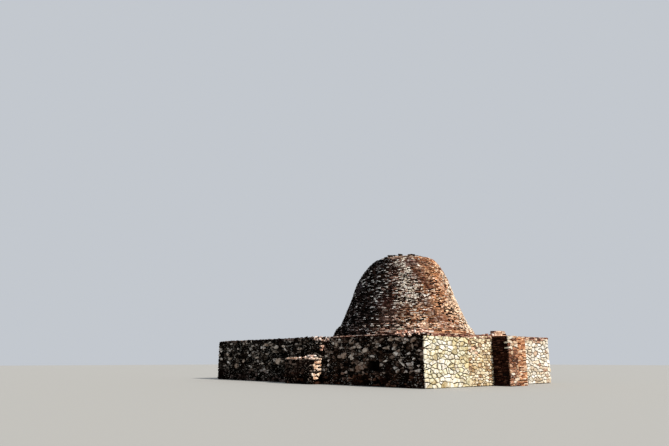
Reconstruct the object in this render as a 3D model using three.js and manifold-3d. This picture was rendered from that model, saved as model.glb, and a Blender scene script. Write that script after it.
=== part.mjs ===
// A small ruined brick stupa on a rubble terrace. Millimetres, +Z up.
// Origin: on the dome's axis, at the foot of the terrace walls.
// -Y is the long shaded front, +X the sunlit short side, so the near corner is at +X -Y.
import * as THREE from "three";
import { mergeVertices } from "three/addons/utils/BufferGeometryUtils.js";
import Module from "manifold-3d";

const wasm = await Module();
wasm.setup();

const gap = 0.3; // bedding gap between neighbouring pieces

// Terrace walls
const terraceTop = 3050; // top of the coping above the foot of the walls
const wallThick = 600;
const xRight = 7550; // outer face of the right wall
const xSplit = -1200; // where the front wall steps forward
const xLeft = -14950; // outer face of the left end wall
const yFront = -6430; // outer face of the front wall beside the dome
const yStep = -6680; // outer face of the front wall left of the step
const yBack = 6430;
const ySplit = -2520; // change of masonry in the right wall
const stepDrop = 15; // the wall left of the step has no coping and stops a little lower

// Square drain mouth through the front wall
const drainX = [3080, 4020];
const drainZ = [900, 1490];
const cutPast = 50; // how far a cutting box runs past the face it cuts

// Copings
const copingHeight = 110; // two thin brick courses
const copingRightNear = 175; // thicker beside the near corner
const copingRightFar = 60; // one worn course beyond it
const copingOut = 40; // how far the coping stands out of the wall
const copingEnd = { front: 320, middle: 90, back: 40 }; // ragged left end of the front coping, from the step
const copingEndDeep = 300;

const pavingThick = 150;

// Block that stands out of the right wall
const landingOut = 1200;
const landingY = [-110, 1720];
const landingSplit = 820; // stone and brick half, then plain brick half
const landingTop = 2990;
const landingBrickDrop = 20;

// Low broken block against the front wall, one brick course and a stub on it
const lowBlockX = [-4050, -1200];
const lowBlockOut = 900;
const lowBlockTop = 1590;
const lowBlockBroken = [180, 260]; // corner that has fallen off, along the front and along the end
const lowCourse = { height: 110, in: 20, left: 30, cornerX: 260, cornerY: 330, endX: 90, backX: 140 };
const lowStub = { x: [1050, 300], y: [120, 560], top: 300 }; // from the right end, from the front, above the block

// Upper paving tier left round the near corner
const tierHeight = 220;
const tierIn = 250;
const tierWide = 900;
const tierFrontBroken = [
  [4300, 900],
  [4050, 620],
  [3600, 560],
  [3470, 0],
]; // left end: place along the front, distance in from the tier's edge
const tierRightBroken = [
  [0, -2300],
  [420, -2450],
  [560, -3000],
  [900, -3300],
]; // far end: distance in from the tier's edge, place along the side
const tierBlock = { x: [5180, 5780], in: [10, 260], height: 85 };
const tierStub = { in: 60, deep: 300, y: [370, 1740], top: 300, topEnd: 1430, shoulder: [1570, 200] };

// Base ring in two stages: radius against height above the terrace
const ringShift = -45; // the ring sits a little off the dome's axis
const ringMid = 500;
const ringTop = 830; // top of the ring
const ringLowerProfile = [
  [5080, 0],
  [5075, 170],
  [5015, 340],
  [4945, ringMid],
];
const ringUpperProfile = [
  [4925, ringMid],
  [4885, 600],
  [4665, ringTop],
];
const ringBroken = { x: [650, 1300], y: [-5400, -4690], floor: 630 };

// Dome and its worn crown: radius against height above the terrace
const domeProfile = [
  [4593, ringTop],
  [4400, 1300],
  [4125, 1950],
  [3797, 2700],
  [3522, 3500],
  [3210, 4250],
  [2860, 4840],
];
const crownProfile = [
  [2860, 4840],
  [2642, 5140],
  [2376, 5440],
  [1954, 5720],
  [800, 5940],
];
const profileSteps = 3; // straight steps between two points of a profile
const turns = 112;

// One side of the crown has worn further down, so its courses drift off the axis
const leanTowards = THREE.MathUtils.degToRad(50);
const leanFrom = 3300; // height above the terrace where the drift starts
const leanReach = 2800;
const leanFull = 300; // drift when it has risen by leanReach

// Loose remains on the crown's edge: centre in plan, width, depth, top above the terrace
const remainsFoot = 5500;
const remains = {
  crown_remains_left: { at: [330, -1600], size: [300, 330], top: 5910 },
  crown_remains_middle: { at: [940, -1040], size: [250, 300], top: 5975 },
  crown_remains_right: { at: [1500, -560], size: [520, 320], top: 5955 },
};

const brick = { color: 0x9a5f46, roughness: 0.95, metalness: 0 };
const brickPale = { color: 0xb98a6a, roughness: 0.95, metalness: 0 };
const brickDark = { color: 0x6f5344, roughness: 0.95, metalness: 0 };
const rubbleDark = { color: 0x77726a, roughness: 0.97, metalness: 0 };
const rubblePale = { color: 0xcbbfa3, roughness: 0.97, metalness: 0 };
const rubbleTan = { color: 0xb9a57f, roughness: 0.97, metalness: 0 };
const earth = { color: 0x8d7355, roughness: 1, metalness: 0 };

const part = new THREE.Group();
part.name = "brick_stupa";

// Closed solid from a geometry, for cutting
const solidFrom = (geometry) => {
  const bare = geometry.index ? geometry.clone() : geometry;
  bare.deleteAttribute("normal");
  bare.deleteAttribute("uv");
  const merged = mergeVertices(bare, 1e-3);
  return new wasm.Manifold(
    new wasm.Mesh({
      numProp: 3,
      vertProperties: new Float32Array(merged.attributes.position.array),
      triVerts: new Uint32Array(merged.index.array),
    }),
  );
};

const geometryFrom = (solid) => {
  const mesh = solid.getMesh();
  const geometry = new THREE.BufferGeometry();
  const points = new Float32Array(mesh.numVert * 3);
  for (let i = 0; i < mesh.numVert; i += 1) {
    for (let k = 0; k < 3; k += 1)
      points[3 * i + k] = mesh.vertProperties[mesh.numProp * i + k];
  }
  geometry.setAttribute("position", new THREE.BufferAttribute(points, 3));
  geometry.setIndex(
    new THREE.BufferAttribute(new Uint32Array(mesh.triVerts), 1),
  );
  const flat = geometry.toNonIndexed();
  flat.computeVertexNormals();
  return flat;
};

const addPiece = (name, geometry, look) => {
  const mesh = new THREE.Mesh(geometry, new THREE.MeshStandardMaterial(look));
  mesh.name = name;
  part.add(mesh);
  return mesh;
};

// Box between two corners
const boxBetween = ([x0, x1], [y0, y1], [z0, z1]) =>
  new THREE.BoxGeometry(x1 - x0, y1 - y0, z1 - z0).translate(
    (x0 + x1) / 2,
    (y0 + y1) / 2,
    (z0 + z1) / 2,
  );

// Flat outline in plan, raised from z0 to z1
const slabFrom = (outline, [z0, z1]) => {
  const shape = new THREE.Shape(outline.map((p) => new THREE.Vector2(...p)));
  return new THREE.ExtrudeGeometry(shape, {
    depth: z1 - z0,
    bevelEnabled: false,
  }).translate(0, 0, z0);
};

// Smooth curve through the points of a profile
const smoothProfile = (profile) =>
  new THREE.SplineCurve(profile.map((p) => new THREE.Vector2(...p)))
    .getPoints((profile.length - 1) * profileSteps)
    .map((p) => [p.x, p.y]);

// Round body on the terrace, closed down to its axis; driftAt gives the axis' offset at each height
const roundBody = (profile, driftAt) => {
  const pairs = profile.map(([r, h], i) => [r, i === 0 ? h + gap : h]);
  const foot = [0, pairs[0][1]];
  const head = [0, pairs[pairs.length - 1][1]];
  const points = [foot, ...pairs, head].map((p) => new THREE.Vector2(...p));
  const geometry = new THREE.LatheGeometry(points, turns).rotateX(Math.PI / 2);
  const place = geometry.attributes.position;
  for (let i = 0; i < place.count; i += 1) {
    const drift = driftAt(place.getZ(i));
    place.setX(i, place.getX(i) + drift * Math.cos(leanTowards));
    place.setY(i, place.getY(i) + drift * Math.sin(leanTowards));
  }
  return geometry.translate(0, 0, terraceTop);
};

const ringDrift = () => ringShift;
const domeDrift = (h) =>
  leanFull * (Math.max(0, h - leanFrom) / leanReach) ** 2;

const wallTop = terraceTop - copingHeight;
const inFront = yFront + wallThick + gap; // just behind the front wall
const inStep = yStep + wallThick + gap;
const inBack = yBack - wallThick - gap;
const inRight = xRight - wallThick - gap;
const inLeft = xLeft + wallThick + gap;

// Fill of the terrace, one mass behind the retaining walls
addPiece(
  "terrace_fill",
  slabFrom(
    [
      [inLeft, inStep],
      [xSplit - gap, inStep],
      [xSplit - gap, inFront],
      [inRight, inFront],
      [inRight, inBack],
      [inLeft, inBack],
    ],
    [0, terraceTop - pavingThick - gap],
  ),
  earth,
);

// Front wall beside the dome, with the drain mouth through it
const frontWall = solidFrom(
  boxBetween([xSplit, xRight], [yFront, yFront + wallThick], [0, wallTop]),
);
const drainCut = solidFrom(
  boxBetween(drainX, [yFront - cutPast, inFront + cutPast], drainZ),
);
addPiece("wall_front_right", geometryFrom(frontWall.subtract(drainCut)), rubbleDark);

// Front wall left of the step, without a coping
addPiece(
  "wall_front_left",
  boxBetween(
    [xLeft, xSplit - gap],
    [yStep, yStep + wallThick],
    [0, terraceTop - stepDrop],
  ),
  rubbleDark,
);

// Right wall in its two kinds of masonry
addPiece(
  "wall_right_near",
  boxBetween(
    [xRight - wallThick, xRight],
    [inFront, ySplit],
    [0, terraceTop - copingRightNear],
  ),
  rubblePale,
);
addPiece(
  "wall_right_far",
  boxBetween(
    [xRight - wallThick, xRight],
    [ySplit + gap, inBack],
    [0, terraceTop - copingRightFar],
  ),
  rubbleTan,
);

// Hidden walls
addPiece(
  "wall_back",
  boxBetween([xLeft, xRight], [yBack - wallThick, yBack], [0, wallTop]),
  rubbleTan,
);
addPiece(
  "wall_left_end",
  boxBetween([xLeft, xLeft + wallThick], [inStep, inBack], [0, wallTop]),
  rubbleDark,
);

// Copings of thin brick
addPiece(
  "coping_front",
  slabFrom(
    [
      [xSplit + copingEnd.front, yFront - copingOut],
      [xRight + copingOut, yFront - copingOut],
      [xRight + copingOut, yFront + wallThick],
      [xSplit + copingEnd.back, yFront + wallThick],
      [xSplit + copingEnd.middle, yFront + copingEndDeep],
    ],
    [wallTop + gap, terraceTop],
  ),
  brick,
);
addPiece(
  "coping_right_near",
  boxBetween(
    [xRight - wallThick, xRight + copingOut],
    [inFront, ySplit],
    [terraceTop - copingRightNear + gap, terraceTop],
  ),
  brickPale,
);
addPiece(
  "coping_right_middle",
  boxBetween(
    [xRight - wallThick, xRight + copingOut / 2],
    [ySplit + gap, landingY[1]],
    [terraceTop - copingRightFar + gap, terraceTop],
  ),
  brickPale,
);
addPiece(
  "coping_right_far",
  boxBetween(
    [xRight - wallThick, xRight + copingOut],
    [landingY[1] + gap, inBack],
    [terraceTop - copingRightFar + gap, terraceTop],
  ),
  brickPale,
);
addPiece(
  "coping_back",
  boxBetween(
    [xLeft - copingOut, xRight + copingOut],
    [yBack - wallThick, yBack + copingOut],
    [wallTop + gap, terraceTop],
  ),
  brick,
);
addPiece(
  "coping_left_end",
  boxBetween(
    [xLeft - copingOut, xLeft + wallThick],
    [inStep, inBack],
    [wallTop + gap, terraceTop],
  ),
  brick,
);

// Paving on the fill, level with the coping
addPiece(
  "paving_right",
  boxBetween(
    [xSplit, inRight],
    [inFront, inBack],
    [terraceTop - pavingThick, terraceTop],
  ),
  brick,
);
addPiece(
  "paving_left",
  boxBetween(
    [inLeft, xSplit - gap],
    [inStep, inBack],
    [terraceTop - pavingThick, terraceTop],
  ),
  brickPale,
);

// Upper paving tier: its edge runs parallel to the walls, and both ends are broken
const tierEdgeX = xRight - tierIn;
const tierEdgeY = yFront + tierIn;
const tierZ = [terraceTop + gap, terraceTop + tierHeight];
addPiece(
  "tier_front",
  slabFrom(
    [
      [tierEdgeX, tierEdgeY],
      [tierEdgeX, tierEdgeY + tierWide],
      ...tierFrontBroken.map(([x, inwards]) => [x, tierEdgeY + inwards]),
    ],
    tierZ,
  ),
  brick,
);
addPiece(
  "tier_right",
  slabFrom(
    [
      [tierEdgeX - tierWide, tierEdgeY + tierWide + gap],
      [tierEdgeX, tierEdgeY + tierWide + gap],
      ...tierRightBroken.map(([inwards, y]) => [tierEdgeX - inwards, y]),
    ],
    tierZ,
  ),
  brickPale,
);
addPiece(
  "tier_block",
  boxBetween(
    tierBlock.x,
    tierBlock.in.map((inwards) => tierEdgeY + inwards),
    [tierZ[1] + gap, tierZ[1] + tierBlock.height],
  ),
  rubblePale,
);

// Stub of the same tier behind the landing block, broken off in a slope
const stubSide = [
  [tierStub.y[0], gap],
  [tierStub.y[1], gap],
  tierStub.shoulder,
  [tierStub.topEnd, tierStub.top],
  [tierStub.y[0], tierStub.top],
];
addPiece(
  "tier_stub",
  slabFrom(stubSide, [0, tierStub.deep])
    .rotateX(Math.PI / 2)
    .rotateZ(Math.PI / 2)
    .translate(xRight - tierStub.in - tierStub.deep, 0, terraceTop),
  brickPale,
);

// Block that stands out of the right wall
addPiece(
  "landing_stone",
  boxBetween(
    [xRight + gap, xRight + landingOut],
    [landingY[0], landingSplit],
    [0, landingTop],
  ),
  brickDark,
);
addPiece(
  "landing_brick",
  boxBetween(
    [xRight + gap, xRight + landingOut],
    [landingSplit + gap, landingY[1]],
    [0, landingTop - landingBrickDrop],
  ),
  brickPale,
);

// Low broken block against the front wall
const lowFront = yStep - lowBlockOut;
const lowEnd = lowBlockX[1];
addPiece(
  "low_block",
  slabFrom(
    [
      [lowBlockX[0], lowFront],
      [lowEnd - lowBlockBroken[0], lowFront],
      [lowEnd, lowFront + lowBlockBroken[1]],
      [lowEnd, yStep - gap],
      [lowBlockX[0], yStep - gap],
    ],
    [0, lowBlockTop],
  ),
  rubbleDark,
);
addPiece(
  "low_block_course",
  slabFrom(
    [
      [lowBlockX[0] + lowCourse.left, lowFront + lowCourse.in],
      [lowEnd - lowCourse.cornerX, lowFront + lowCourse.in],
      [lowEnd - lowCourse.endX, lowFront + lowCourse.cornerY],
      [lowEnd - lowCourse.backX, yStep - lowCourse.in],
      [lowBlockX[0] + lowCourse.left, yStep - lowCourse.in],
    ],
    [lowBlockTop + gap, lowBlockTop + lowCourse.height],
  ),
  brick,
);
addPiece(
  "low_block_stub",
  boxBetween(
    lowStub.x.map((x) => lowEnd - x),
    lowStub.y.map((y) => lowFront + y),
    [lowBlockTop + lowCourse.height + gap, lowBlockTop + lowStub.top],
  ),
  brickPale,
);

// Base ring in two stages, the upper one worn to a slope and broken in one place
addPiece("ring_lower", roundBody(ringLowerProfile, ringDrift), brick);
const ringUpper = solidFrom(roundBody(ringUpperProfile, ringDrift));
const ringBreak = solidFrom(
  boxBetween(ringBroken.x, ringBroken.y, [
    terraceTop + ringBroken.floor,
    terraceTop + ringTop + cutPast,
  ]),
);
addPiece("ring_upper", geometryFrom(ringUpper.subtract(ringBreak)), brick);

// Dome, one mass of brick, and its worn crown
addPiece("dome", roundBody(smoothProfile(domeProfile), domeDrift), brickDark);
const crown = solidFrom(roundBody(smoothProfile(crownProfile), domeDrift));
addPiece("crown", geometryFrom(crown), brickDark);

// Loose remains, seated on the crown's slope
const crownSeat = crown.translate([0, 0, gap]);
for (const [name, { at, size, top }] of Object.entries(remains)) {
  const lump = boxBetween(
    [-size[0] / 2, size[0] / 2],
    [-size[1] / 2, size[1] / 2],
    [terraceTop + remainsFoot, terraceTop + top],
  )
    .rotateZ(leanTowards)
    .translate(at[0], at[1], 0);
  addPiece(name, geometryFrom(solidFrom(lump).subtract(crownSeat)), brickDark);
}

export default part;
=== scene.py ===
# Ruined brick stupa on a rubble terrace: bricks in courses, stones set in the walls, weathered finishes
import math
import random

import bmesh
import bpy
from mathutils import Matrix, Vector


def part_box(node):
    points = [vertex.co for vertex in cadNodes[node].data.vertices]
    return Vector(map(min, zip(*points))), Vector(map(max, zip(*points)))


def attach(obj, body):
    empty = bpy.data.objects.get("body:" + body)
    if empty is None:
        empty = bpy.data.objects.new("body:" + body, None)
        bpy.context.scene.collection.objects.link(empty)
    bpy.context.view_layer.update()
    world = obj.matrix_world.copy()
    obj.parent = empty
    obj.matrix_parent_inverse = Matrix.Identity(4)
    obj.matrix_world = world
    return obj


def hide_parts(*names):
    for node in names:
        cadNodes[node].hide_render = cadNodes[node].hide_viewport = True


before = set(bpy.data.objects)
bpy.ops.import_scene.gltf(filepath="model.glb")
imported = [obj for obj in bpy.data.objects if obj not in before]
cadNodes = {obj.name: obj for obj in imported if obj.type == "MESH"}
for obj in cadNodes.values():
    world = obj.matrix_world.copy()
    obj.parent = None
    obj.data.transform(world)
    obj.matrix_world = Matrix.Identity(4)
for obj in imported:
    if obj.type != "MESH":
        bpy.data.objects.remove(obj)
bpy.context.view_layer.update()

up = Vector((0, 0, 1))


# Small helpers for node trees

def addNode(tree, kind, inputs=None, **settings):
    node = tree.nodes.new(kind)
    for name, value in settings.items():
        setattr(node, name, value)
    for key, value in (inputs or {}).items():
        if isinstance(value, bpy.types.NodeSocket):
            tree.links.new(value, node.inputs[key])
        else:
            node.inputs[key].default_value = value
    return node


def doMath(tree, operation, *values):
    return addNode(tree, "ShaderNodeMath", dict(enumerate(values)), operation=operation).outputs[0]


def add(tree, first, second):
    return doMath(tree, "ADD", first, second)


def subtract(tree, first, second):
    return doMath(tree, "SUBTRACT", first, second)


def multiply(tree, first, second):
    return doMath(tree, "MULTIPLY", first, second)


def vectorNode(tree, operation, *values):
    return addNode(tree, "ShaderNodeVectorMath", dict(enumerate(values)), operation=operation)


def doVector(tree, operation, *values):
    return vectorNode(tree, operation, *values).outputs[0]


def measureVector(tree, operation, *values):
    return vectorNode(tree, operation, *values).outputs["Value"]


def scaleVector(tree, vector, factor):
    return addNode(tree, "ShaderNodeVectorMath", {0: vector, "Scale": factor}, operation="SCALE").outputs[0]


def centred(tree, noise):
    # A noise colour, which runs from 0 to 1, as an offset to all sides
    return doVector(tree, "SUBTRACT", noise, (0.5, 0.5, 0.5))


def splitVector(tree, vector):
    return addNode(tree, "ShaderNodeSeparateXYZ", {0: vector}).outputs


def randomFloat(tree, low, high, seed, key=None):
    inputs = {2: low, 3: high, 8: seed}
    if key is not None:
        inputs[7] = key
    return addNode(tree, "FunctionNodeRandomValue", inputs, data_type="FLOAT").outputs[1]


def randomVector(tree, reach, seed, key=None):
    inputs = {0: [-value for value in reach], 1: reach, 8: seed}
    if key is not None:
        inputs[7] = key
    return addNode(tree, "FunctionNodeRandomValue", inputs, data_type="FLOAT_VECTOR").outputs[0]


def readAttribute(tree, name, kind):
    return addNode(tree, "GeometryNodeInputNamedAttribute", {"Name": name}, data_type=kind).outputs[0]


def keepAttribute(tree, geometry, name, value, domain, kind):
    inputs = {"Geometry": geometry, "Name": name, "Value": value}
    return addNode(tree, "GeometryNodeStoreNamedAttribute", inputs, domain=domain, data_type=kind).outputs[0]


def moveMesh(tree, geometry, offset):
    return addNode(tree, "GeometryNodeSetPosition", {"Geometry": geometry, "Offset": offset}).outputs[0]


def raiseMesh(tree, geometry, height):
    return moveMesh(tree, geometry, addNode(tree, "ShaderNodeCombineXYZ", {2: height}).outputs[0])


# How far the tint, from 0 to 1, moves a brick or stone in the noises that shape and colour it
tintReach = {"shape": 60.0, "chance": 977.0, "place": 7.0}


def knockMesh(tree, geometry, scale, detail, reach):
    # Every corner is knocked about a little, each brick or stone in its own way
    own = multiply(tree, readAttribute(tree, "tint", "FLOAT"), tintReach["shape"])
    spot = addNode(tree, "GeometryNodeInputPosition").outputs[0]
    noise = addNode(tree, "ShaderNodeTexNoise", {"Vector": spot, "W": own, "Scale": scale, "Detail": detail},
                    noise_dimensions="4D").outputs[1]
    return moveMesh(tree, geometry, scaleVector(tree, centred(tree, noise), reach))


def startTree(name, sockets):
    tree = bpy.data.node_groups.new(name, "GeometryNodeTree")
    tree.interface.new_socket("Geometry", in_out="INPUT", socket_type="NodeSocketGeometry")
    for label, kind in sockets:
        tree.interface.new_socket(label, in_out="INPUT", socket_type="NodeSocket" + kind)
    tree.interface.new_socket("Geometry", in_out="OUTPUT", socket_type="NodeSocketGeometry")
    return tree, tree.nodes.new("NodeGroupInput").outputs


def endTree(tree, geometry, finish):
    solid = addNode(tree, "GeometryNodeRealizeInstances", {"Geometry": geometry}).outputs[0]
    done = addNode(tree, "GeometryNodeSetMaterial", {"Geometry": solid, "Material": finish}).outputs[0]
    tree.links.new(done, tree.nodes.new("NodeGroupOutput").inputs[0])
    for i, node in enumerate(tree.nodes):
        node.location = (220 * (i // 4), -260 * (i % 4))
    return tree


def addToScene(name, data):
    thing = bpy.data.objects.new(name, data)
    bpy.context.scene.collection.objects.link(thing)
    return thing


def runTree(tree, mesh, values):
    # One evaluated copy of the tree on this mesh, as a plain mesh
    host = addToScene(tree.name, mesh)
    modifier = host.modifiers.new(tree.name, "NODES")
    modifier.node_group = tree
    inputs = [item for item in tree.interface.items_tree if item.in_out == "INPUT"]
    identifiers = {item.name: item.identifier for item in inputs}
    for label, value in values.items():
        modifier[identifiers[label]] = value
    depsgraph = bpy.context.evaluated_depsgraph_get()
    made = bpy.data.meshes.new_from_object(
        host.evaluated_get(depsgraph), preserve_all_data_layers=True, depsgraph=depsgraph)
    bpy.data.objects.remove(host)
    return made


# Geometry Nodes: bricks laid on points that know their direction, outside and length

brickShape = {
    "wearScale": 0.55, "wearFrom": 0.35,  # broad hollows worn into the face
    "arris": 0.07, "arrisShare": 0.88,  # how far the worn face stands out, and its width, as shares
    "deep": (0.85, 1.0), "high": (0.82, 1.06),  # least and most share of the depth and of the height
    "chipScale": 7.0, "chipDetail": 1.0}


def brickBody(tree):
    # Unit brick: face at y = 0 with a worn arris, body behind it
    cube = addNode(tree, "GeometryNodeMeshCube",
                   {"Size": (1, 1, 1), "Vertices X": 3, "Vertices Y": 2, "Vertices Z": 2}).outputs[0]
    facing = splitVector(tree, addNode(tree, "GeometryNodeInputNormal").outputs[0])[1]
    front = doMath(tree, "LESS_THAN", facing, -0.5)
    raised = addNode(tree, "GeometryNodeExtrudeMesh", {
        "Mesh": cube, "Selection": front, "Offset Scale": brickShape["arris"], "Individual": False})
    shaped = addNode(tree, "GeometryNodeScaleElements", {
        "Geometry": raised.outputs[0], "Selection": raised.outputs[1],
        "Scale": brickShape["arrisShare"]}).outputs[0]
    return addNode(tree, "GeometryNodeTransform", {
        "Geometry": shaped, "Translation": (0, 0.5 + brickShape["arris"], 0)}).outputs[0]


def brickTurn(tree, along, out, given):
    # Length along the course and face to the outside, then a lean of the brick's own
    level = addNode(tree, "FunctionNodeAlignRotationToVector", {"Vector": along}, axis="X").outputs[0]
    turned = addNode(tree, "FunctionNodeAlignRotationToVector", {
        "Rotation": level, "Vector": scaleVector(tree, out, -1.0)}, axis="Y", pivot_axis="X").outputs[0]
    lean = scaleVector(tree, randomVector(tree, (1, 1, 1), add(tree, given["Seed"], 2)), given["Lean"])
    return addNode(tree, "FunctionNodeRotateRotation", {
        "Rotation": turned, "Rotate By": addNode(tree, "FunctionNodeEulerToRotation", {0: lean}).outputs[0]},
        rotation_space="LOCAL").outputs[0]


def brickSize(tree, span, given):
    seed, joint = given["Seed"], given["Joint"]
    deep = randomFloat(tree, *brickShape["deep"], add(tree, seed, 3))
    high = randomFloat(tree, *brickShape["high"], add(tree, seed, 4))
    return addNode(tree, "ShaderNodeCombineXYZ", {
        0: subtract(tree, span, joint),
        1: multiply(tree, given["Depth"], deep),
        2: multiply(tree, subtract(tree, given["Course"], joint), high)}).outputs[0]


def makeBrickTree():
    tree, given = startTree("layBricks", [
        ("Course", "Float"), ("Joint", "Float"), ("Depth", "Float"), ("Proud", "Float"), ("Wander", "Float"),
        ("Hollow", "Float"), ("Lean", "Float"), ("Chip", "Float"), ("Missing", "Float"), ("Seed", "Int"),
        ("Finish", "Material")])
    seed = given["Seed"]
    lost = addNode(tree, "FunctionNodeRandomValue", {6: given["Missing"], 8: seed},
                   data_type="BOOLEAN").outputs[3]
    places = addNode(tree, "GeometryNodeDeleteGeometry", {"Geometry": given["Geometry"], "Selection": lost},
                     domain="POINT").outputs[0]
    along = readAttribute(tree, "along", "FLOAT_VECTOR")
    out = readAttribute(tree, "out", "FLOAT_VECTOR")
    span = readAttribute(tree, "span", "FLOAT")

    # Broad hollows worn into the face, and a little wander from brick to brick
    spot = addNode(tree, "GeometryNodeInputPosition").outputs[0]
    wear = addNode(tree, "ShaderNodeTexNoise", {
        "Vector": spot, "Scale": brickShape["wearScale"], "Detail": 2.0}).outputs[0]
    worn = multiply(tree, given["Hollow"], subtract(tree, wear, brickShape["wearFrom"]))
    wander = multiply(tree, given["Wander"], randomFloat(tree, -1.0, 1.0, add(tree, seed, 1)))
    stand = subtract(tree, add(tree, given["Proud"], wander), worn)
    placed = moveMesh(tree, places, scaleVector(tree, out, stand))

    laid = addNode(tree, "GeometryNodeInstanceOnPoints", {
        "Points": placed, "Instance": brickBody(tree), "Rotation": brickTurn(tree, along, out, given),
        "Scale": brickSize(tree, span, given)}).outputs[0]
    tint = randomFloat(tree, 0.0, 1.0, add(tree, seed, 5))
    tinted = keepAttribute(tree, laid, "tint", tint, "INSTANCE", "FLOAT")
    solid = addNode(tree, "GeometryNodeRealizeInstances", {"Geometry": tinted}).outputs[0]
    chipped = knockMesh(tree, solid, brickShape["chipScale"], brickShape["chipDetail"], given["Chip"])
    return endTree(tree, chipped, given["Finish"])


# Geometry Nodes: flat stone outlines grow into stones that stand out of the mortar towards +Z

stoneShape = {
    "rise": (0.55, 0.30, 0.15),  # shares of the height in the three steps
    "faceShare": 0.7,  # width of the face beside that of the crest
    "weld": 0.0002, "chipScale": 6.0, "chipDetail": 2.0}


def growStep(tree, mesh, selection, height, share):
    # One step of a stone: its top goes up and is scaled
    grown = addNode(tree, "GeometryNodeExtrudeMesh", {
        "Mesh": mesh, "Selection": selection, "Offset Scale": height, "Individual": True})
    scaled = addNode(tree, "GeometryNodeScaleElements", {
        "Geometry": grown.outputs[0], "Selection": grown.outputs[1], "Scale": share}).outputs[0]
    return scaled, grown.outputs[1]


def growStones(tree, base, given):
    # Each outline rises out of its bed, then swells into a stone in three steps
    proud = given["Proud"]
    first, second, third = stoneShape["rise"]
    uneven = multiply(tree, given["Uneven"], randomFloat(tree, -1.0, 1.0, add(tree, given["Seed"], 2)))
    lift = add(tree, add(tree, multiply(tree, proud, first), given["Bedded"]), uneven)
    body = addNode(tree, "GeometryNodeExtrudeMesh", {"Mesh": base, "Offset Scale": lift, "Individual": True})
    crest, top = growStep(tree, body.outputs[0], body.outputs[1], multiply(tree, proud, second),
                          given["Crest"])
    face, top = growStep(tree, crest, top, multiply(tree, proud, third),
                         multiply(tree, given["Crest"], stoneShape["faceShare"]))
    back = addNode(tree, "GeometryNodeFlipFaces", {"Mesh": base}).outputs[0]
    joined = addNode(tree, "GeometryNodeJoinGeometry")
    tree.links.new(face, joined.inputs[0])
    tree.links.new(back, joined.inputs[0])
    return addNode(tree, "GeometryNodeMergeByDistance", {
        "Geometry": joined.outputs[0], "Distance": stoneShape["weld"]}).outputs[0]


def makeStoneTree():
    tree, given = startTree("setStones", [
        ("Bedded", "Float"), ("Proud", "Float"), ("Uneven", "Float"), ("Tilt", "Float"), ("Crest", "Float"),
        ("Chip", "Float"), ("Seed", "Int"), ("Finish", "Material")])
    seed = given["Seed"]
    spot = addNode(tree, "GeometryNodeInputPosition").outputs[0]
    middle = addNode(tree, "GeometryNodeFieldOnDomain", {"Value": spot}, domain="FACE",
                     data_type="FLOAT_VECTOR").outputs[0]
    known = keepAttribute(tree, given["Geometry"], "middle", middle, "POINT", "FLOAT_VECTOR")
    base = raiseMesh(tree, known, multiply(tree, given["Bedded"], -1.0))
    closed = growStones(tree, base, given)

    # The face of each stone slopes its own way, and its surface is rough
    island = addNode(tree, "GeometryNodeInputMeshIsland").outputs[0]
    tint = randomFloat(tree, 0.0, 1.0, add(tree, seed, 3), island)
    tinted = keepAttribute(tree, closed, "tint", tint, "POINT", "FLOAT")
    arm = doVector(tree, "SUBTRACT", spot, readAttribute(tree, "middle", "FLOAT_VECTOR"))
    fall = randomVector(tree, (1, 1, 0), add(tree, seed, 4), island)
    slope = measureVector(tree, "DOT_PRODUCT", arm, fall)
    standing = doMath(tree, "GREATER_THAN", splitVector(tree, spot)[2], 0.0)
    sloped = raiseMesh(tree, tinted, multiply(tree, slope, multiply(tree, standing, given["Tilt"])))
    rough = knockMesh(tree, sloped, stoneShape["chipScale"], stoneShape["chipDetail"],
                      multiply(tree, standing, given["Chip"]))
    return endTree(tree, rough, given["Finish"])


brickTree = makeBrickTree()
stoneTree = makeStoneTree()
print("node trees ready")


# Finishes. Colours are linear, sizes in metres.

def startFinish(name):
    finish = bpy.data.materials.new(name)
    finish.use_nodes = True
    tree = finish.node_tree
    tree.nodes.clear()
    shader = tree.nodes.new("ShaderNodeBsdfPrincipled")
    output = tree.nodes.new("ShaderNodeOutputMaterial")
    tree.links.new(shader.outputs[0], output.inputs[0])
    return finish, tree, shader


def colour(r, g, b):
    return (r, g, b, 1.0)


def grey(value):
    return (value, value, value, 1.0)


def stops(*rows):
    # Places and colours of a ramp
    return [(place, colour(*rest)) for place, *rest in rows]


def mixColour(tree, factor, first, second, blend="MIX"):
    return addNode(tree, "ShaderNodeMix", {0: factor, 6: first, 7: second},
                   data_type="RGBA", blend_type=blend).outputs[2]


def shade(tree, base, by, share=1.0):
    return mixColour(tree, share, base, by, "MULTIPLY")


def ramp(tree, factor, rows):
    node = addNode(tree, "ShaderNodeValToRGB", {0: factor})
    elements = node.color_ramp.elements
    while len(elements) < len(rows):
        elements.new(0.5)
    for element, (position, value) in zip(elements, rows):
        element.position = position
        element.color = value
    return node.outputs[0]


def greyRamp(tree, factor, *rows):
    # A ramp of greys, given as places and values
    return ramp(tree, factor, [(place, grey(value)) for place, value in rows])


def grain(tree, coordinates, size, detail=3.0, roughness=0.55):
    # Noise whose blotches are about size metres across
    return addNode(tree, "ShaderNodeTexNoise", {"Vector": coordinates, "Scale": 1.0 / size, "Detail": detail,
                                                "Roughness": roughness}).outputs[0]


def between(tree, value, low, high):
    # 0 at low, 1 at high
    return addNode(tree, "ShaderNodeMapRange", {0: value, 1: low, 2: high}, clamp=True).outputs[0]


def stretched(tree, coordinates, factors):
    return doVector(tree, "MULTIPLY", coordinates, factors)


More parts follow.
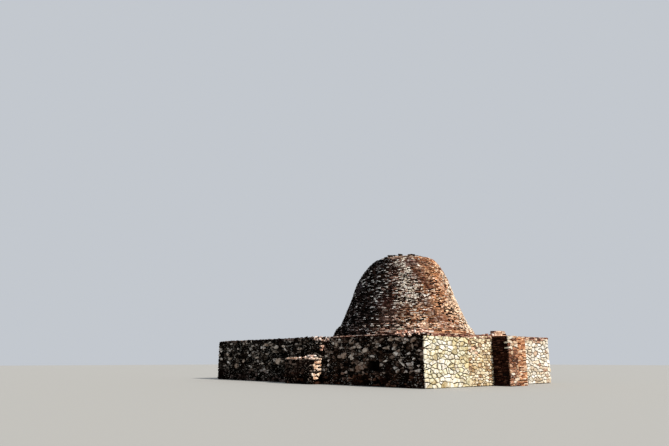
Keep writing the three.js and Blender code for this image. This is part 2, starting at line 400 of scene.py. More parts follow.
def unitCoordinates(tree):
    # Place on the building, each unit's own number, a second number and a place of its own in the noise
    spot = addNode(tree, "ShaderNodeTexCoord").outputs["Object"]
    tint = addNode(tree, "ShaderNodeAttribute", attribute_name="tint").outputs["Fac"]
    moved = multiply(tree, tint, tintReach["chance"])
    dice = addNode(tree, "ShaderNodeTexWhiteNoise", {"W": moved}, noise_dimensions="1D")
    own = doVector(tree, "ADD", spot, scaleVector(tree, dice.outputs["Color"], tintReach["place"]))
    return spot, tint, dice.outputs["Value"], own


def setSurface(tree, shader, base, roughness, strength, depth, relief):
    # Dull, with small relief as bump
    tree.links.new(base, shader.inputs["Base Color"])
    shader.inputs["Roughness"].default_value = roughness
    shader.inputs["Specular IOR Level"].default_value = 0.0
    bump = addNode(tree, "ShaderNodeBump", {"Strength": strength, "Distance": depth, "Height": relief})
    tree.links.new(bump.outputs[0], shader.inputs["Normal"])


gritLook = {"size": 0.05, "tones": ((0.3, 0.15), (0.62, 1.0)), "reliefSize": 0.04, "relief": 0.02}


def finishSurface(tree, shader, base, own, look):
    # Grit in the colour and in the relief
    grit = greyRamp(tree, grain(tree, own, gritLook["size"], 4.0, 0.7), *gritLook["tones"])
    base = shade(tree, base, grit, look["grit"])
    relief = grain(tree, own, gritLook["reliefSize"], 6.0, 0.7)
    setSurface(tree, shader, base, look["roughness"], look["bump"], gritLook["relief"], relief)


def masonryFinish(name, look):
    # Each stone or brick takes a colour of its own from the palette; stain, lichen and painted highlights lie
    # over them
    finish, tree, shader = startFinish(name)
    spot, tint, chance, own = unitCoordinates(tree)
    base = ramp(tree, tint, look["palette"])
    base = shade(tree, base, greyRamp(tree, chance, *look["tones"]))
    clear = between(tree, grain(tree, own, look["blotSize"], 4.0), *look["blotFrom"])
    base = shade(tree, base, mixColour(tree, clear, look["blot"], grey(1.0)))
    height = splitVector(tree, spot)[2]
    # Darker towards the foot of the wall
    clearOfDarkening = between(tree, add(tree, height, grain(tree, spot, look["dampSize"])), *look["dampBelow"])
    base = shade(tree, base, mixColour(tree, clearOfDarkening, look["damp"], grey(1.0)))
    # Darker towards the top of the face
    if "darkAbove" in look:
        ragged = multiply(tree, grain(tree, spot, look["edgeSize"]), look["edgeRagged"])
        edge = between(tree, add(tree, height, ragged), *look["darkAbove"])
        base = shade(tree, base, mixColour(tree, edge, grey(1.0), look["damp"]))
    blotch = between(tree, grain(tree, spot, look["blotch"], 4.0), *look["stainFrom"])
    base = mixColour(tree, multiply(tree, blotch, look["stainShare"]), base, look["stain"])
    # Pale flecks: real lichen, and where drawn out sideways in the shade looks, painted highlights on lit top
    # edges
    drawn = stretched(tree, own, look["fleckShape"])
    fleck = between(tree, grain(tree, drawn, look["fleck"], 5.0, 0.65), *look["fleckFrom"])
    base = mixColour(tree, multiply(tree, fleck, look["lichenShare"]), base, look["lichen"])
    if "glint" in look:
        # Painted highlights: small pale flecks on lit stone edges, thick in some zones and rare in others
        zone = between(tree, grain(tree, spot, look["glintZone"], 2.0), *look["glintZoneFrom"])
        squat = stretched(tree, spot, look["glintShape"])
        small = between(tree, grain(tree, squat, look["glintSize"], 2.0), *look["glintFrom"])
        base = mixColour(tree, multiply(tree, small, zone), base, look["glint"])
    finishSurface(tree, shader, base, own, look)
    return finish


def makeMasonry(name, usual, *palette, **changes):
    # The usual look with its own palette, as places and colours, and with what else differs
    return masonryFinish(name, dict(usual, palette=stops(*palette), **changes))


def weatheredFinish(name, look):
    # Round brickwork: black growth with painted shade away from the sun, pale flecks where light grazes, warm
    # brick with painted sunlight towards it
    finish, tree, shader = startFinish(name)
    spot, tint, chance, own = unitCoordinates(tree)
    outward = doVector(tree, "NORMALIZE", stretched(tree, spot, (1, 1, 0)))
    ragged = grain(tree, spot, look["raggedSize"], 5.0, 0.6)
    ragged = multiply(tree, subtract(tree, ragged, 0.5), look["ragged"])
    facing = add(tree, measureVector(tree, "DOT_PRODUCT", outward, look["towardsSun"]), ragged)
    rained = add(tree, measureVector(tree, "DOT_PRODUCT", outward, look["towardsRain"]), ragged)
    height = splitVector(tree, spot)[2]
    bleached = multiply(tree, between(tree, rained, *look["bleachedFrom"]),
                        between(tree, height, *look["bleachedBelow"]))

    # A brick's tone is half its own and half its neighbourhood's
    flat = stretched(tree, spot, look["clusterShape"])
    near = between(tree, grain(tree, flat, look["cluster"], 2.0), *look["clusterFrom"])
    tone = between(tree, add(tree, tint, near), *look["toneFrom"])
    # Towards the sun, and near the foot, the sunny palette: warm brick, partly painted sunlight
    warm = between(tree, facing, *look["warmFrom"])
    footWarm = multiply(tree, between(tree, height, *look["warmBelow"]),
                        between(tree, facing, *look["footWarmFrom"]))
    base = mixColour(tree, doMath(tree, "MAXIMUM", warm, footWarm), ramp(tree, tone, look["dull"]),
                     ramp(tree, tone, look["sunny"]))
    base = mixColour(tree, bleached, base, ramp(tree, tone, look["bleached"]))
    # Away from the sun: real black growth, darkened further as painted shade
    growthAndShade = between(tree, facing, *look["growthAndShadeFrom"])
    base = mixColour(tree, growthAndShade, base, ramp(tree, tone, look["growthAndShade"]))

    # Pale bricks, more of them in some places
    share = greyRamp(tree, between(tree, facing, -1.0, 1.0), *look["paleShare"])
    stir = addNode(tree, "ShaderNodeTexNoise", {
        "Vector": spot, "Scale": look["spotScale"], "Detail": 3.0}).outputs[1]
    blurred = doVector(tree, "ADD", spot, scaleVector(tree, centred(tree, stir), look["spotRagged"]))
    for *place, reach, more in look["paleSpots"]:
        close = between(tree, measureVector(tree, "DISTANCE", blurred, place), reach, 0.0)
        share = add(tree, share, multiply(tree, close, more))
    pick = between(tree, add(tree, chance, multiply(tree, near, look["paleNear"])), *look["paleFrom"])
    bar = subtract(tree, 1.0, share)
    pale = between(tree, pick, bar, add(tree, bar, look["paleSoft"]))
    left = between(tree, grain(tree, own, look["paleCut"], 2.0), *look["paleCutFrom"])
    pale = multiply(tree, pale, left)
    # Pale bricks: cream towards the sun, grey away from it, a painted shade tone on the same bricks
    inSun, inShade = ramp(tree, tint, look["pale"]), ramp(tree, tint, look["paleInShade"])
    base = mixColour(tree, pale, base, mixColour(tree, growthAndShade, inSun, inShade))
    for *place, reach, strength, tone in look["patches"]:
        full = reach * look["patchFull"]
        close = between(tree, measureVector(tree, "DISTANCE", blurred, place), reach, full)
        toned = shade(tree, colour(*tone), greyRamp(tree, chance, *look["patchTones"]))
        base = mixColour(tree, multiply(tree, close, strength), base, toned)
    stained = grain(tree, spot, look["stainSize"], 4.0, 0.6)
    dark, clear = look["stainFrom"]
    base = shade(tree, base, greyRamp(tree, stained, (dark, look["stain"]), (clear, 1.0)))
    finishSurface(tree, shader, base, own, look)
    return finish


mortarLook = {
    "patchFrom": (0.35, 0.65), "crumb": 0.04, "tones": ((0.35, 0.35), (0.65, 1.0)), "crumbShare": 0.6,
    "roughness": 0.95, "bump": 0.8, "relief": 0.03}


def mortarFinish(name, dark, light, patchSize=0.5):
    # Dark and light patches of about patchSize metres, and crumbs
    finish, tree, shader = startFinish(name)
    spot = addNode(tree, "ShaderNodeTexCoord").outputs["Object"]
    patch = between(tree, grain(tree, spot, patchSize, 4.0), *mortarLook["patchFrom"])
    crumb = grain(tree, spot, mortarLook["crumb"], 5.0, 0.7)
    base = mixColour(tree, patch, colour(*dark), colour(*light))
    base = shade(tree, base, greyRamp(tree, crumb, *mortarLook["tones"]), mortarLook["crumbShare"])
    setSurface(tree, shader, base, mortarLook["roughness"], mortarLook["bump"], mortarLook["relief"], crumb)
    return finish


stoneLook = {
    "tones": ((0.0, 0.7), (0.5, 1.0), (1.0, 1.1)),  # how much darker or lighter one unit is than the next
    "blot": colour(0.60, 0.52, 0.42), "blotSize": 0.16, "blotFrom": (0.40, 0.55),
    "blotch": 0.6, "stain": colour(0.40, 0.30, 0.18), "stainShare": 0.4, "stainFrom": (0.50, 0.34),
    "damp": grey(0.85), "dampSize": 0.8, "dampBelow": (0.5, 1.0),
    "fleck": 0.10, "fleckShape": (1.0, 1.0, 1.0), "fleckFrom": (0.56, 0.66),
    "lichen": colour(0.88, 0.85, 0.78), "lichenShare": 0.4, "grit": 0.3, "roughness": 0.9, "bump": 0.5}
brickLook = dict(stoneLook, blot=colour(0.50, 0.40, 0.35), fleck=0.12, grit=0.35, roughness=0.92, bump=0.6)
# Stones in shade: their sideways flecks and glints are painted highlights on lit top edges, over real lichen
shadeLook = dict(
    stoneLook, blot=colour(0.45, 0.34, 0.28), blotch=1.6, stain=colour(0.022, 0.010, 0.007), stainShare=0.6,
    dampBelow=(1.10, 1.60), damp=colour(0.34, 0.21, 0.16), fleck=0.30, fleckShape=(1.0, 1.0, 2.2),
    fleckFrom=(0.64, 0.67), lichen=colour(0.60, 0.57, 0.51), lichenShare=0.5, grit=0.45, roughness=0.92,
    bump=0.6, glint=colour(0.50, 0.47, 0.42), glintSize=0.11, glintShape=(1.0, 1.0, 1.4),
    glintFrom=(0.60, 0.66), glintZone=0.9, glintZoneFrom=(0.42, 0.58))

# Stones of faces in shade, and of the low tops near them: real dark weathering, darkened further as painted
# shade
shadeStone = makeMasonry(
    "shadeStone", shadeLook, (0.0, 0.002, 0.001, 0.001), (0.38, 0.013, 0.008, 0.005),
    (0.58, 0.042, 0.025, 0.017), (0.73, 0.118, 0.078, 0.058), (0.85, 0.27, 0.205, 0.165),
    (0.93, 0.56, 0.49, 0.42), (1.0, 0.94, 0.91, 0.86))
wingStone = makeMasonry(
    "wingStone", shadeLook, (0.0, 0.001, 0.001, 0.001), (0.46, 0.007, 0.005, 0.004),
    (0.64, 0.025, 0.019, 0.014), (0.77, 0.096, 0.078, 0.062), (0.87, 0.31, 0.28, 0.24),
    (0.94, 0.63, 0.59, 0.53), (1.0, 0.95, 0.93, 0.88),
    stain=colour(0.014, 0.008, 0.006), damp=colour(0.19, 0.15, 0.15), darkAbove=(2.92, 3.02),
    edgeSize=0.4, edgeRagged=0.2)
lowStone = makeMasonry(
    "lowStone", shadeLook, (0.0, 0.001, 0.001, 0.001), (0.50, 0.005, 0.003, 0.002),
    (0.78, 0.020, 0.011, 0.008), (0.93, 0.12, 0.082, 0.064), (1.0, 0.50, 0.42, 0.36),
    lichenShare=0.3, glint=colour(0.26, 0.20, 0.16))
boulderStone = makeMasonry(
    "boulderStone", stoneLook, (0.0, 0.12, 0.055, 0.038), (0.35, 0.26, 0.17, 0.12), (0.7, 0.54, 0.45, 0.37),
    (1.0, 0.94, 0.91, 0.84),
    blot=colour(0.42, 0.34, 0.28), blotch=0.3, stain=colour(0.03, 0.02, 0.015), stainShare=0.3, fleck=0.12,
    fleckShape=(1.0, 1.0, 1.8), lichenShare=0.5, grit=0.45)
paleStone = makeMasonry(
    "paleStone", stoneLook, (0.0, 0.52, 0.42, 0.24), (0.08, 0.68, 0.60, 0.38), (0.34, 0.80, 0.76, 0.56),
    (0.66, 0.86, 0.84, 0.72), (0.9, 0.92, 0.90, 0.86), (1.0, 0.74, 0.66, 0.42),
    blot=colour(0.56, 0.48, 0.34), grit=0.45)
creamStone = makeMasonry(
    "creamStone", stoneLook, (0.0, 0.40, 0.22, 0.15), (0.1, 0.62, 0.50, 0.38), (0.4, 0.78, 0.72, 0.60),
    (0.8, 0.88, 0.86, 0.80), (1.0, 0.94, 0.92, 0.88), lichenShare=0.5)
tanStone = makeMasonry(
    "tanStone", stoneLook, (0.0, 0.20, 0.10, 0.06), (0.10, 0.46, 0.30, 0.16), (0.32, 0.68, 0.55, 0.34),
    (0.62, 0.80, 0.70, 0.50), (0.9, 0.90, 0.85, 0.72), (1.0, 0.64, 0.34, 0.20),
    blot=colour(0.50, 0.40, 0.28), stain=colour(0.36, 0.24, 0.13))
mixedStone = makeMasonry(
    "mixedStone", stoneLook, (0.0, 0.05, 0.018, 0.011), (0.3, 0.21, 0.083, 0.045), (0.55, 0.44, 0.22, 0.13),
    (0.78, 0.70, 0.54, 0.39), (1.0, 0.90, 0.86, 0.76), stain=colour(0.18, 0.09, 0.05), grit=0.4)
lumpStone = makeMasonry(
    "lumpStone", stoneLook, (0.0, 0.30, 0.14, 0.08), (0.3, 0.76, 0.45, 0.28), (0.6, 0.95, 0.70, 0.50),
    (1.0, 0.98, 0.91, 0.80), blot=colour(0.40, 0.25, 0.18), stain=colour(0.22, 0.10, 0.06), grit=0.45)
dustyStone = makeMasonry(
    "dustyStone", stoneLook, (0.0, 0.30, 0.22, 0.14), (0.4, 0.42, 0.32, 0.21), (0.8, 0.52, 0.42, 0.29),
    (1.0, 0.62, 0.54, 0.42), stain=colour(0.30, 0.21, 0.13), stainShare=0.7)

redBrick = makeMasonry(
    "redBrick", brickLook, (0.0, 0.05, 0.017, 0.010), (0.35, 0.26, 0.10, 0.06), (0.75, 0.48, 0.22, 0.14),
    (1.0, 0.72, 0.50, 0.38),
    blotch=0.7, stain=colour(0.08, 0.03, 0.02), stainShare=0.5, lichen=colour(0.66, 0.54, 0.44), grit=0.4)
pinkBrick = makeMasonry(
    "pinkBrick", brickLook, (0.0, 0.46, 0.24, 0.16), (0.2, 0.86, 0.60, 0.49), (0.6, 0.95, 0.81, 0.73),
    (1.0, 0.99, 0.96, 0.93), blot=colour(0.74, 0.60, 0.52), blotch=0.4, stain=colour(0.20, 0.08, 0.05),
    stainShare=0.25, lichen=colour(0.96, 0.91, 0.86))
salmonBrick = makeMasonry(
    "salmonBrick", brickLook, (0.0, 0.05, 0.016, 0.008), (0.24, 0.30, 0.115, 0.058), (0.52, 0.67, 0.32, 0.16),
    (0.82, 0.88, 0.54, 0.32), (1.0, 0.93, 0.80, 0.64),
    stain=colour(0.20, 0.08, 0.04), lichen=colour(0.82, 0.66, 0.49))
brokenBrick = makeMasonry(
    "brokenBrick", brickLook, (0.0, 0.04, 0.014, 0.009), (0.25, 0.24, 0.088, 0.052), (0.5, 0.68, 0.34, 0.22),
    (0.78, 0.92, 0.60, 0.44), (1.0, 0.97, 0.88, 0.78),
    stain=colour(0.10, 0.04, 0.025), lichen=colour(0.90, 0.80, 0.72))
# Copies of one brick toned for how light falls: this one for faces in shade, sunEdgeBrick, darker, for faces
# in the sun
shadeEdgeBrick = makeMasonry(
    "shadeEdgeBrick", brickLook, (0.0, 0.012, 0.005, 0.004), (0.34, 0.055, 0.021, 0.016), (0.50, 0.34, 0.16, 0.12),
    (0.72, 0.84, 0.60, 0.50), (1.0, 0.98, 0.91, 0.86),
    blotch=0.4, stain=colour(0.02, 0.008, 0.006), stainShare=0.3, lichen=colour(0.9, 0.78, 0.70))
sunEdgeBrick = makeMasonry(
    "sunEdgeBrick", brickLook, (0.0, 0.03, 0.011, 0.008), (0.34, 0.13, 0.048, 0.036),
    (0.62, 0.36, 0.16, 0.11), (0.86, 0.66, 0.43, 0.32), (1.0, 0.90, 0.76, 0.62),
    blotch=0.4, stain=colour(0.06, 0.022, 0.016), stainShare=0.5, lichen=colour(0.80, 0.64, 0.52))
spillBrick = makeMasonry(
    "spillBrick", brickLook, (0.0, 0.05, 0.018, 0.012), (0.18, 0.36, 0.155, 0.10), (0.5, 0.82, 0.46, 0.335),
    (0.8, 0.96, 0.68, 0.54), (1.0, 0.98, 0.90, 0.83),
    stain=colour(0.10, 0.04, 0.025), lichen=colour(0.92, 0.80, 0.72))
stubBrick = makeMasonry(
    "stubBrick", brickLook, (0.0, 0.46, 0.27, 0.18), (0.3, 0.62, 0.40, 0.28), (0.75, 0.72, 0.50, 0.36),
    (1.0, 0.86, 0.70, 0.56),
    blot=colour(0.78, 0.68, 0.60), stain=colour(0.44, 0.24, 0.16), stainShare=0.3, grit=0.25)
# Painted shade: near-black brick for faces and courses that lie in shade
paintedShadeBrick = makeMasonry(
    "paintedShadeBrick", brickLook, (0.0, 0.010, 0.004, 0.003), (0.5, 0.028, 0.010, 0.006),
    (0.85, 0.07, 0.026, 0.018), (1.0, 0.22, 0.11, 0.07), blotch=0.5, stain=colour(0.010, 0.004, 0.002),
    stainShare=0.6, lichen=colour(0.2, 0.13, 0.09), lichenShare=0.3, grit=0.5)
crestBrick = makeMasonry(
    "crestBrick", brickLook, (0.0, 0.012, 0.008, 0.006), (0.6, 0.045, 0.028, 0.020), (1.0, 0.13, 0.08, 0.055),
    stain=colour(0.012, 0.008, 0.006), lichenShare=0.1)


def levelWay(turn):
    # Level direction, turned from +X towards +Y
    return Vector((math.cos(turn), math.sin(turn), 0))


def bearing(degrees):
    return levelWay(math.radians(degrees))


domeLook = {
    "towardsSun": bearing(8), "towardsRain": bearing(40), "bleachedFrom": (0.77, 0.92),
    "bleachedBelow": (8.1, 6.9), "ragged": 0.6, "raggedSize": 0.9,
    "cluster": 0.24, "clusterShape": (0.55, 0.55, 2.4), "clusterFrom": (0.32, 0.68), "toneFrom": (0.45, 1.55),
    "warmFrom": (0.78, 0.96), "warmBelow": (5.3, 4.5), "footWarmFrom": (0.5, 0.75),
    "growthAndShadeFrom": (0.52, 0.20),
    "dull": stops((0.0, 0.004, 0.002, 0.002), (0.4, 0.018, 0.008, 0.006), (0.7, 0.090, 0.038, 0.027),
                  (1.0, 0.36, 0.19, 0.13)),
    "sunny": stops((0.0, 0.05, 0.016, 0.009), (0.2, 0.22, 0.076, 0.038), (0.48, 0.54, 0.235, 0.115),
                   (0.8, 0.74, 0.41, 0.225), (1.0, 0.92, 0.66, 0.43)),
    "bleached": stops((0.0, 0.14, 0.062, 0.036), (0.18, 0.52, 0.28, 0.165), (0.46, 0.84, 0.58, 0.385),
                      (0.8, 0.93, 0.77, 0.58), (1.0, 0.97, 0.92, 0.80)),
    "growthAndShade": stops((0.0, 0.002, 0.002, 0.002), (0.65, 0.006, 0.005, 0.005), (0.88, 0.035, 0.026, 0.025),
                    (1.0, 0.16, 0.13, 0.125)),
    "pale": stops((0.0, 0.66, 0.54, 0.42), (0.5, 0.92, 0.85, 0.74), (1.0, 0.99, 0.97, 0.92)),
    "paleInShade": stops((0.0, 0.46, 0.45, 0.45), (0.5, 0.82, 0.82, 0.80), (1.0, 0.98, 0.98, 0.96)),
    # How many bricks are pale, from the side away from the sun to the side towards it
    "paleShare": ((0.0, 0.14), (0.5, 0.17), (0.66, 0.23), (0.74, 0.36), (0.80, 0.47), (0.86, 0.44),
                  (0.92, 0.34), (0.98, 0.20)),
    "paleNear": 0.4, "paleFrom": (0.12, 1.28),  # pale bricks keep together by this much
    "paleCut": 0.11, "paleCutFrom": (0.42, 0.50), "paleSoft": 0.04, "spotRagged": 1.2, "spotScale": 2.5,
    # Where more or fewer bricks are pale: x, y, z, reach, how many more
    "paleSpots": (
        (3.0, -2.35, 5.7, 1.3, 0.22), (2.54, -2.35, 6.66, 1.0, 0.24), (1.70, -1.75, 8.35, 0.6, 0.20),
        (2.25, -2.20, 7.35, 0.7, 0.20), (0.40, -4.25, 4.50, 1.7, -0.13), (1.86, -2.81, 6.90, 0.75, -0.18),
        (2.15, -3.15, 5.69, 0.80, -0.20), (1.82, -3.60, 5.21, 0.60, -0.12), (2.89, -3.19, 4.57, 0.75, -0.18),
        (3.05, -2.60, 4.90, 0.65, -0.14), (1.20, -3.60, 5.60, 0.80, 0.08), (2.45, -2.30, 6.95, 0.60, 0.16),
        (2.92, -2.50, 5.62, 0.60, 0.20), (3.33, -1.43, 6.25, 0.65, -0.15), (3.20, -2.85, 4.50, 0.85, -0.16),
        (1.07, -3.70, 5.60, 0.70, 0.14), (2.43, -1.79, 7.63, 0.60, 0.14)),
    "patchFull": 0.7, "patchTones": ((0.0, 0.2), (0.7, 1.0), (1.0, 2.4)),
    # Patches of another tone: x, y, z, reach, share, colour
    "patches": (
        (3.33, -0.95, 6.7, 0.55, 0.6, (0.09, 0.029, 0.026)),
        (3.17, -0.13, 7.42, 0.55, 0.75, (0.44, 0.185, 0.08)),
        (2.95, -1.4, 7.25, 0.75, 0.7, (0.13, 0.05, 0.03)), (4.15, -1.35, 4.42, 0.7, 0.7, (0.1, 0.04, 0.028)),
        (4.4, -0.5, 4.15, 0.65, 0.5, (0.22, 0.095, 0.06)), (3.9, 1.1, 5.2, 0.8, 0.7, (0.92, 0.64, 0.45)),
        (2.63, 0.22, 8.3, 0.55, 0.6, (0.25, 0.105, 0.055)), (2.25, 0.0, 8.62, 0.5, 0.65, (0.2, 0.085, 0.045)),
        (3.98, -0.9, 4.98, 0.6, 0.5, (0.64, 0.33, 0.18)), (3.5, 0.59, 6.46, 0.5, 0.45, (0.34, 0.15, 0.085)),
        (4.2, 0.1, 4.8, 0.7, 0.75, (0.84, 0.55, 0.36)), (3.1, -2.95, 4.6, 0.65, 0.3, (0.1, 0.045, 0.03)),
        (3.62, -1.8, 5.35, 0.55, 0.45, (0.17, 0.075, 0.05)), (1.7, -3.7, 5.2, 0.7, 0.5, (0.055, 0.02, 0.016)),
        (2.34, -3.77, 4.25, 0.7, 0.35, (0.36, 0.21, 0.165)),
        (-1.18, -3.3, 6.59, 0.5, 0.7, (0.06, 0.046, 0.052)),
        (2.18, -1.39, 8.26, 0.5, 0.65, (0.13, 0.055, 0.045)),
        (2.65, -0.5, 8.2, 0.65, 0.7, (0.17, 0.07, 0.042)),
        (0.7, -1.72, 8.78, 0.42, 0.8, (0.62, 0.43, 0.33)), (1.2, -1.45, 8.78, 0.42, 0.8, (0.62, 0.42, 0.31)),
        (1.26, -0.67, 8.87, 0.7, 0.6, (0.60, 0.34, 0.20))),
    "stain": 0.58, "stainSize": 0.5, "stainFrom": (0.34, 0.48), "grit": 0.4, "roughness": 0.93, "bump": 0.7}
ringLook = dict(
    domeLook, warmFrom=(0.55, 0.85), warmBelow=(-1.0, -2.0), growthAndShadeFrom=(0.35, 0.10), ragged=0.4,
    dull=stops((0.0, 0.002, 0.001, 0.001), (0.50, 0.012, 0.005, 0.004), (0.74, 0.17, 0.070, 0.045),
               (1.0, 0.80, 0.52, 0.40)),
    sunny=stops((0.0, 0.015, 0.005, 0.003), (0.3, 0.12, 0.042, 0.023), (0.58, 0.50, 0.235, 0.12),
                (1.0, 0.90, 0.64, 0.43)),
    paleShare=((0.0, 0.07), (0.5, 0.13), (0.75, 0.28), (1.0, 0.26)), paleSpots=(),
    patches=(
        (0.95, -4.80, 3.70, 0.22, 0.9, (0.85, 0.66, 0.54)),  # the break
        (-0.10, -4.89, 3.62, 0.20, 0.6, (0.50, 0.34, 0.29)),  # lit stretches of the upper edge
        (0.42, -4.89, 3.60, 0.22, 0.6, (0.50, 0.34, 0.29)),
        (2.90, -4.00, 3.53, 0.22, 0.6, (0.86, 0.66, 0.56)),
        (4.06, -2.30, 3.85, 0.60, 0.55, (0.80, 0.53, 0.38)),  # towards the sun
        (4.62, -1.00, 3.75, 0.65, 0.55, (0.30, 0.13, 0.085))),
    stain=0.5)
domeBrick = weatheredFinish("domeBrick", domeLook)
ringBrick = weatheredFinish("ringBrick", ringLook)

# Mortar and earth, dark and light
darkMortar = mortarFinish("darkMortar", (0.004, 0.003, 0.003), (0.016, 0.011, 0.008))
brownMortar = mortarFinish("brownMortar", (0.008, 0.005, 0.003), (0.04, 0.022, 0.012))
paleMortar = mortarFinish("paleMortar", (0.006, 0.004, 0.002), (0.18, 0.13, 0.075), 0.22)
redMortar = mortarFinish("redMortar", (0.012, 0.006, 0.004), (0.045, 0.02, 0.013))
domeMortar = mortarFinish("domeMortar", (0.005, 0.003, 0.002), (0.022, 0.011, 0.008))
dustyEarth = mortarFinish("dustyEarth", (0.20, 0.13, 0.08), (0.38, 0.27, 0.17))
print("finishes ready")


# Outlines: lists of corners with the outside on the right

def edgesOf(outline):
    return zip(outline, outline[1:] + outline[:1])


def cornersOf(outline):
    # Each corner between the one before and the one after it
    return zip(outline[-1:] + outline[:-1], outline, outline[1:] + outline[:1])


def outwards(start, end):
    return Vector((end[1] - start[1], start[0] - end[0])).normalized()


def insideOutline(outline, x, y):
    odd = False
    for (x0, y0), (x1, y1) in edgesOf(outline):
        if (y0 > y) != (y1 > y) and x < x0 + (x1 - x0) * (y - y0) / (y1 - y0):
            odd = not odd
    return odd


def clipOutline(outline, a, b, c):
    # Keeps the part of the outline where a x + b y is under c
    kept = []
    for (x0, y0), (x1, y1) in edgesOf(outline):
        over0, over1 = a * x0 + b * y0 - c, a * x1 + b * y1 - c
        if over0 <= 0:
            kept.append((x0, y0))
        if (over0 < 0 < over1) or (over1 < 0 < over0):
            t = over0 / (over0 - over1)
            kept.append((x0 + (x1 - x0) * t, y0 + (y1 - y0) * t))
    return kept


def rectangle(low, high):
    return [(low.x, low.y), (high.x, low.y), (high.x, high.y), (low.x, high.y)]


# How near two corners are one, how deep the top goes, how level its faces are and what counts as a bend
topFrom = {"weld": 0.0002, "deep": 0.001, "level": 0.99, "straight": 0.9999}


def topOutline(node):
    # Edge of a slab's top
    solid = bmesh.new()
    solid.from_mesh(cadNodes[node].data)
    bmesh.ops.remove_doubles(solid, verts=solid.verts, dist=topFrom["weld"])
    solid.faces.index_update()
    solid.verts.index_update()
    top = max(vertex.co.z for vertex in solid.verts) - topFrom["deep"]
    roof = [face for face in solid.faces
            if face.normal.z > topFrom["level"] and face.calc_center_median().z > top]
    inRoof = {face.index for face in roof}
    follow = {}
    for face in roof:
        for loop in face.loops:
            if loop.link_loop_radial_next.face.index not in inRoof:
                follow[loop.vert.index] = (loop.vert.co.copy(), loop.link_loop_next.vert.index)
    index = min(follow, key=lambda corner: tuple(follow[corner][0]))  # the same corner every time
    corners = []
    while len(corners) < len(follow):
        corners.append(follow[index][0])
        index = follow[index][1]
    solid.free()
    return [(corner.x, corner.y) for before, corner, after in cornersOf(corners)
            if (corner - before).normalized().dot((after - corner).normalized()) < topFrom["straight"]]


# Laying bricks: a bed is (place, along, out, span)

bond = {"spread": (0.65, 1.35), "last": 1.5}  # shares of a brick's usual length
onBed = {"course": 0.16, "depth": 0.06, "proud": 0.012, "wander": 0.008, "hollow": 0.0}  # lying, face up


def bedMesh(beds):
    mesh = bpy.data.meshes.new("seeds")
    mesh.from_pydata([bed[0] for bed in beds], [], [])
    for label, index in (("along", 1), ("out", 2)):
        layer = mesh.attributes.new(label, "FLOAT_VECTOR", "POINT")
        layer.data.foreach_set("vector", [value for bed in beds for value in bed[index]])
    layer = mesh.attributes.new("span", "FLOAT", "POINT")
    layer.data.foreach_set("value", [bed[3] for bed in beds])
    return mesh


def brickMesh(beds, brick, finish):
    labels = ("Course", "Joint", "Depth", "Proud", "Wander", "Hollow", "Lean", "Chip", "Missing", "Seed")
    values = {label: brick[label.lower()] for label in labels}
    return runTree(brickTree, bedMesh(beds), dict(values, Finish=finish))


def cutLengths(total, length, dice, half):
    # Ends of the bricks along a run; every other course starts on a half brick
    count = max(1, round(total / length))
    step = total / count
    ends = [0.0]
    if half and count > 1:
        ends.append(step / 2)
    while ends[-1] < total - step * bond["last"]:
        ends.append(ends[-1] + step * dice.uniform(*bond["spread"]))
    ends.append(total)
    return list(zip(ends[:-1], ends[1:]))


def faceBeds(start, end, bottom, top, brick, endAt=None):
    # Courses on an upright face; its outside is on the right of start to end
    start, end = Vector((*start, 0)), Vector((*end, 0))
    along = (end - start).normalized()
    out = along.cross(up)
    dice = random.Random(brick["seed"])
    courses = max(1, round((top - bottom) / brick["course"]))
    beds = []
    for i in range(courses):
        z = bottom + (i + 0.5) * (top - bottom) / courses
        first = -brick["proud"] if i % 2 == 0 else 0.0
        total = (endAt(z) if endAt else (end - start).length) - first + (brick["proud"] if i % 2 else 0.0)
        for a, b in cutLengths(total, brick["length"], dice, i % 2):
            beds.append((start + along * (first + (a + b) / 2) + up * z, along, out, b - a))
    return beds


def topBeds(low, high, z, brick, keep=None):
    # Bricks laid flat in rows, face up
    dice = random.Random(brick["seed"] + 50)
    rows = max(1, round((high[1] - low[1]) / brick["course"]))
    beds = []
    for i in range(rows):
        y = low[1] + (i + 0.5) * (high[1] - low[1]) / rows
        for a, b in cutLengths(high[0] - low[0], brick["length"], dice, i % 2):
            place = Vector((low[0] + (a + b) / 2, y, z))
            if keep is None or keep(place):
                beds.append((place, Vector((1, 0, 0)), up, b - a))
    return beds


def flatBrick(brick):
    # The same brick lying on its bed, seen from above
    return dict(brick, **onBed, seed=brick["seed"] + 7)


def slabBricks(node, brick, finish, bare=None, paintedShadowFinish=None):
    # Courses round a slab and bricks on its top; bare tells which edges show, from their way out and middle
    low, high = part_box(node)
    outline = topOutline(node)
    beds = []
    for start, end in edgesOf(outline):
        if bare is None or bare(outwards(start, end), (start[0] + end[0]) / 2):
            beds += faceBeds(start, end, low.z, high.z, brick)
    flat = flatBrick(brick)
    roof = topBeds(low, high, high.z, flat, lambda place: insideOutline(outline, place.x, place.y))
    laid = [brickMesh(roof, flat, finish)]
    if paintedShadowFinish:
        # On the front, the lower courses are dark: painted shadow under the upper course
        middle = (low.z + high.z) / 2
        foot = [bed for bed in beds if bed[0].z < middle and bed[2].y < -0.5]
        beds = [bed for bed in beds if bed[0].z >= middle or bed[2].y >= -0.5]
        laid.append(brickMesh(foot, brick, paintedShadowFinish))
    return laid + [brickMesh(beds, brick, finish)]


# Round courses

roundBond = {
    "step": 1.05,  # from course to course, in heights of a course
    "wander": 0.22,  # how far a joint moves from its even place, in bricks
    "liftFrom": 0.7,  # where the surface lies back by more than this for each metre of rise, the faces tip up
    "fewest": 5,
    "full": 0.4}  # rings with less than this share of the most corners are no levels


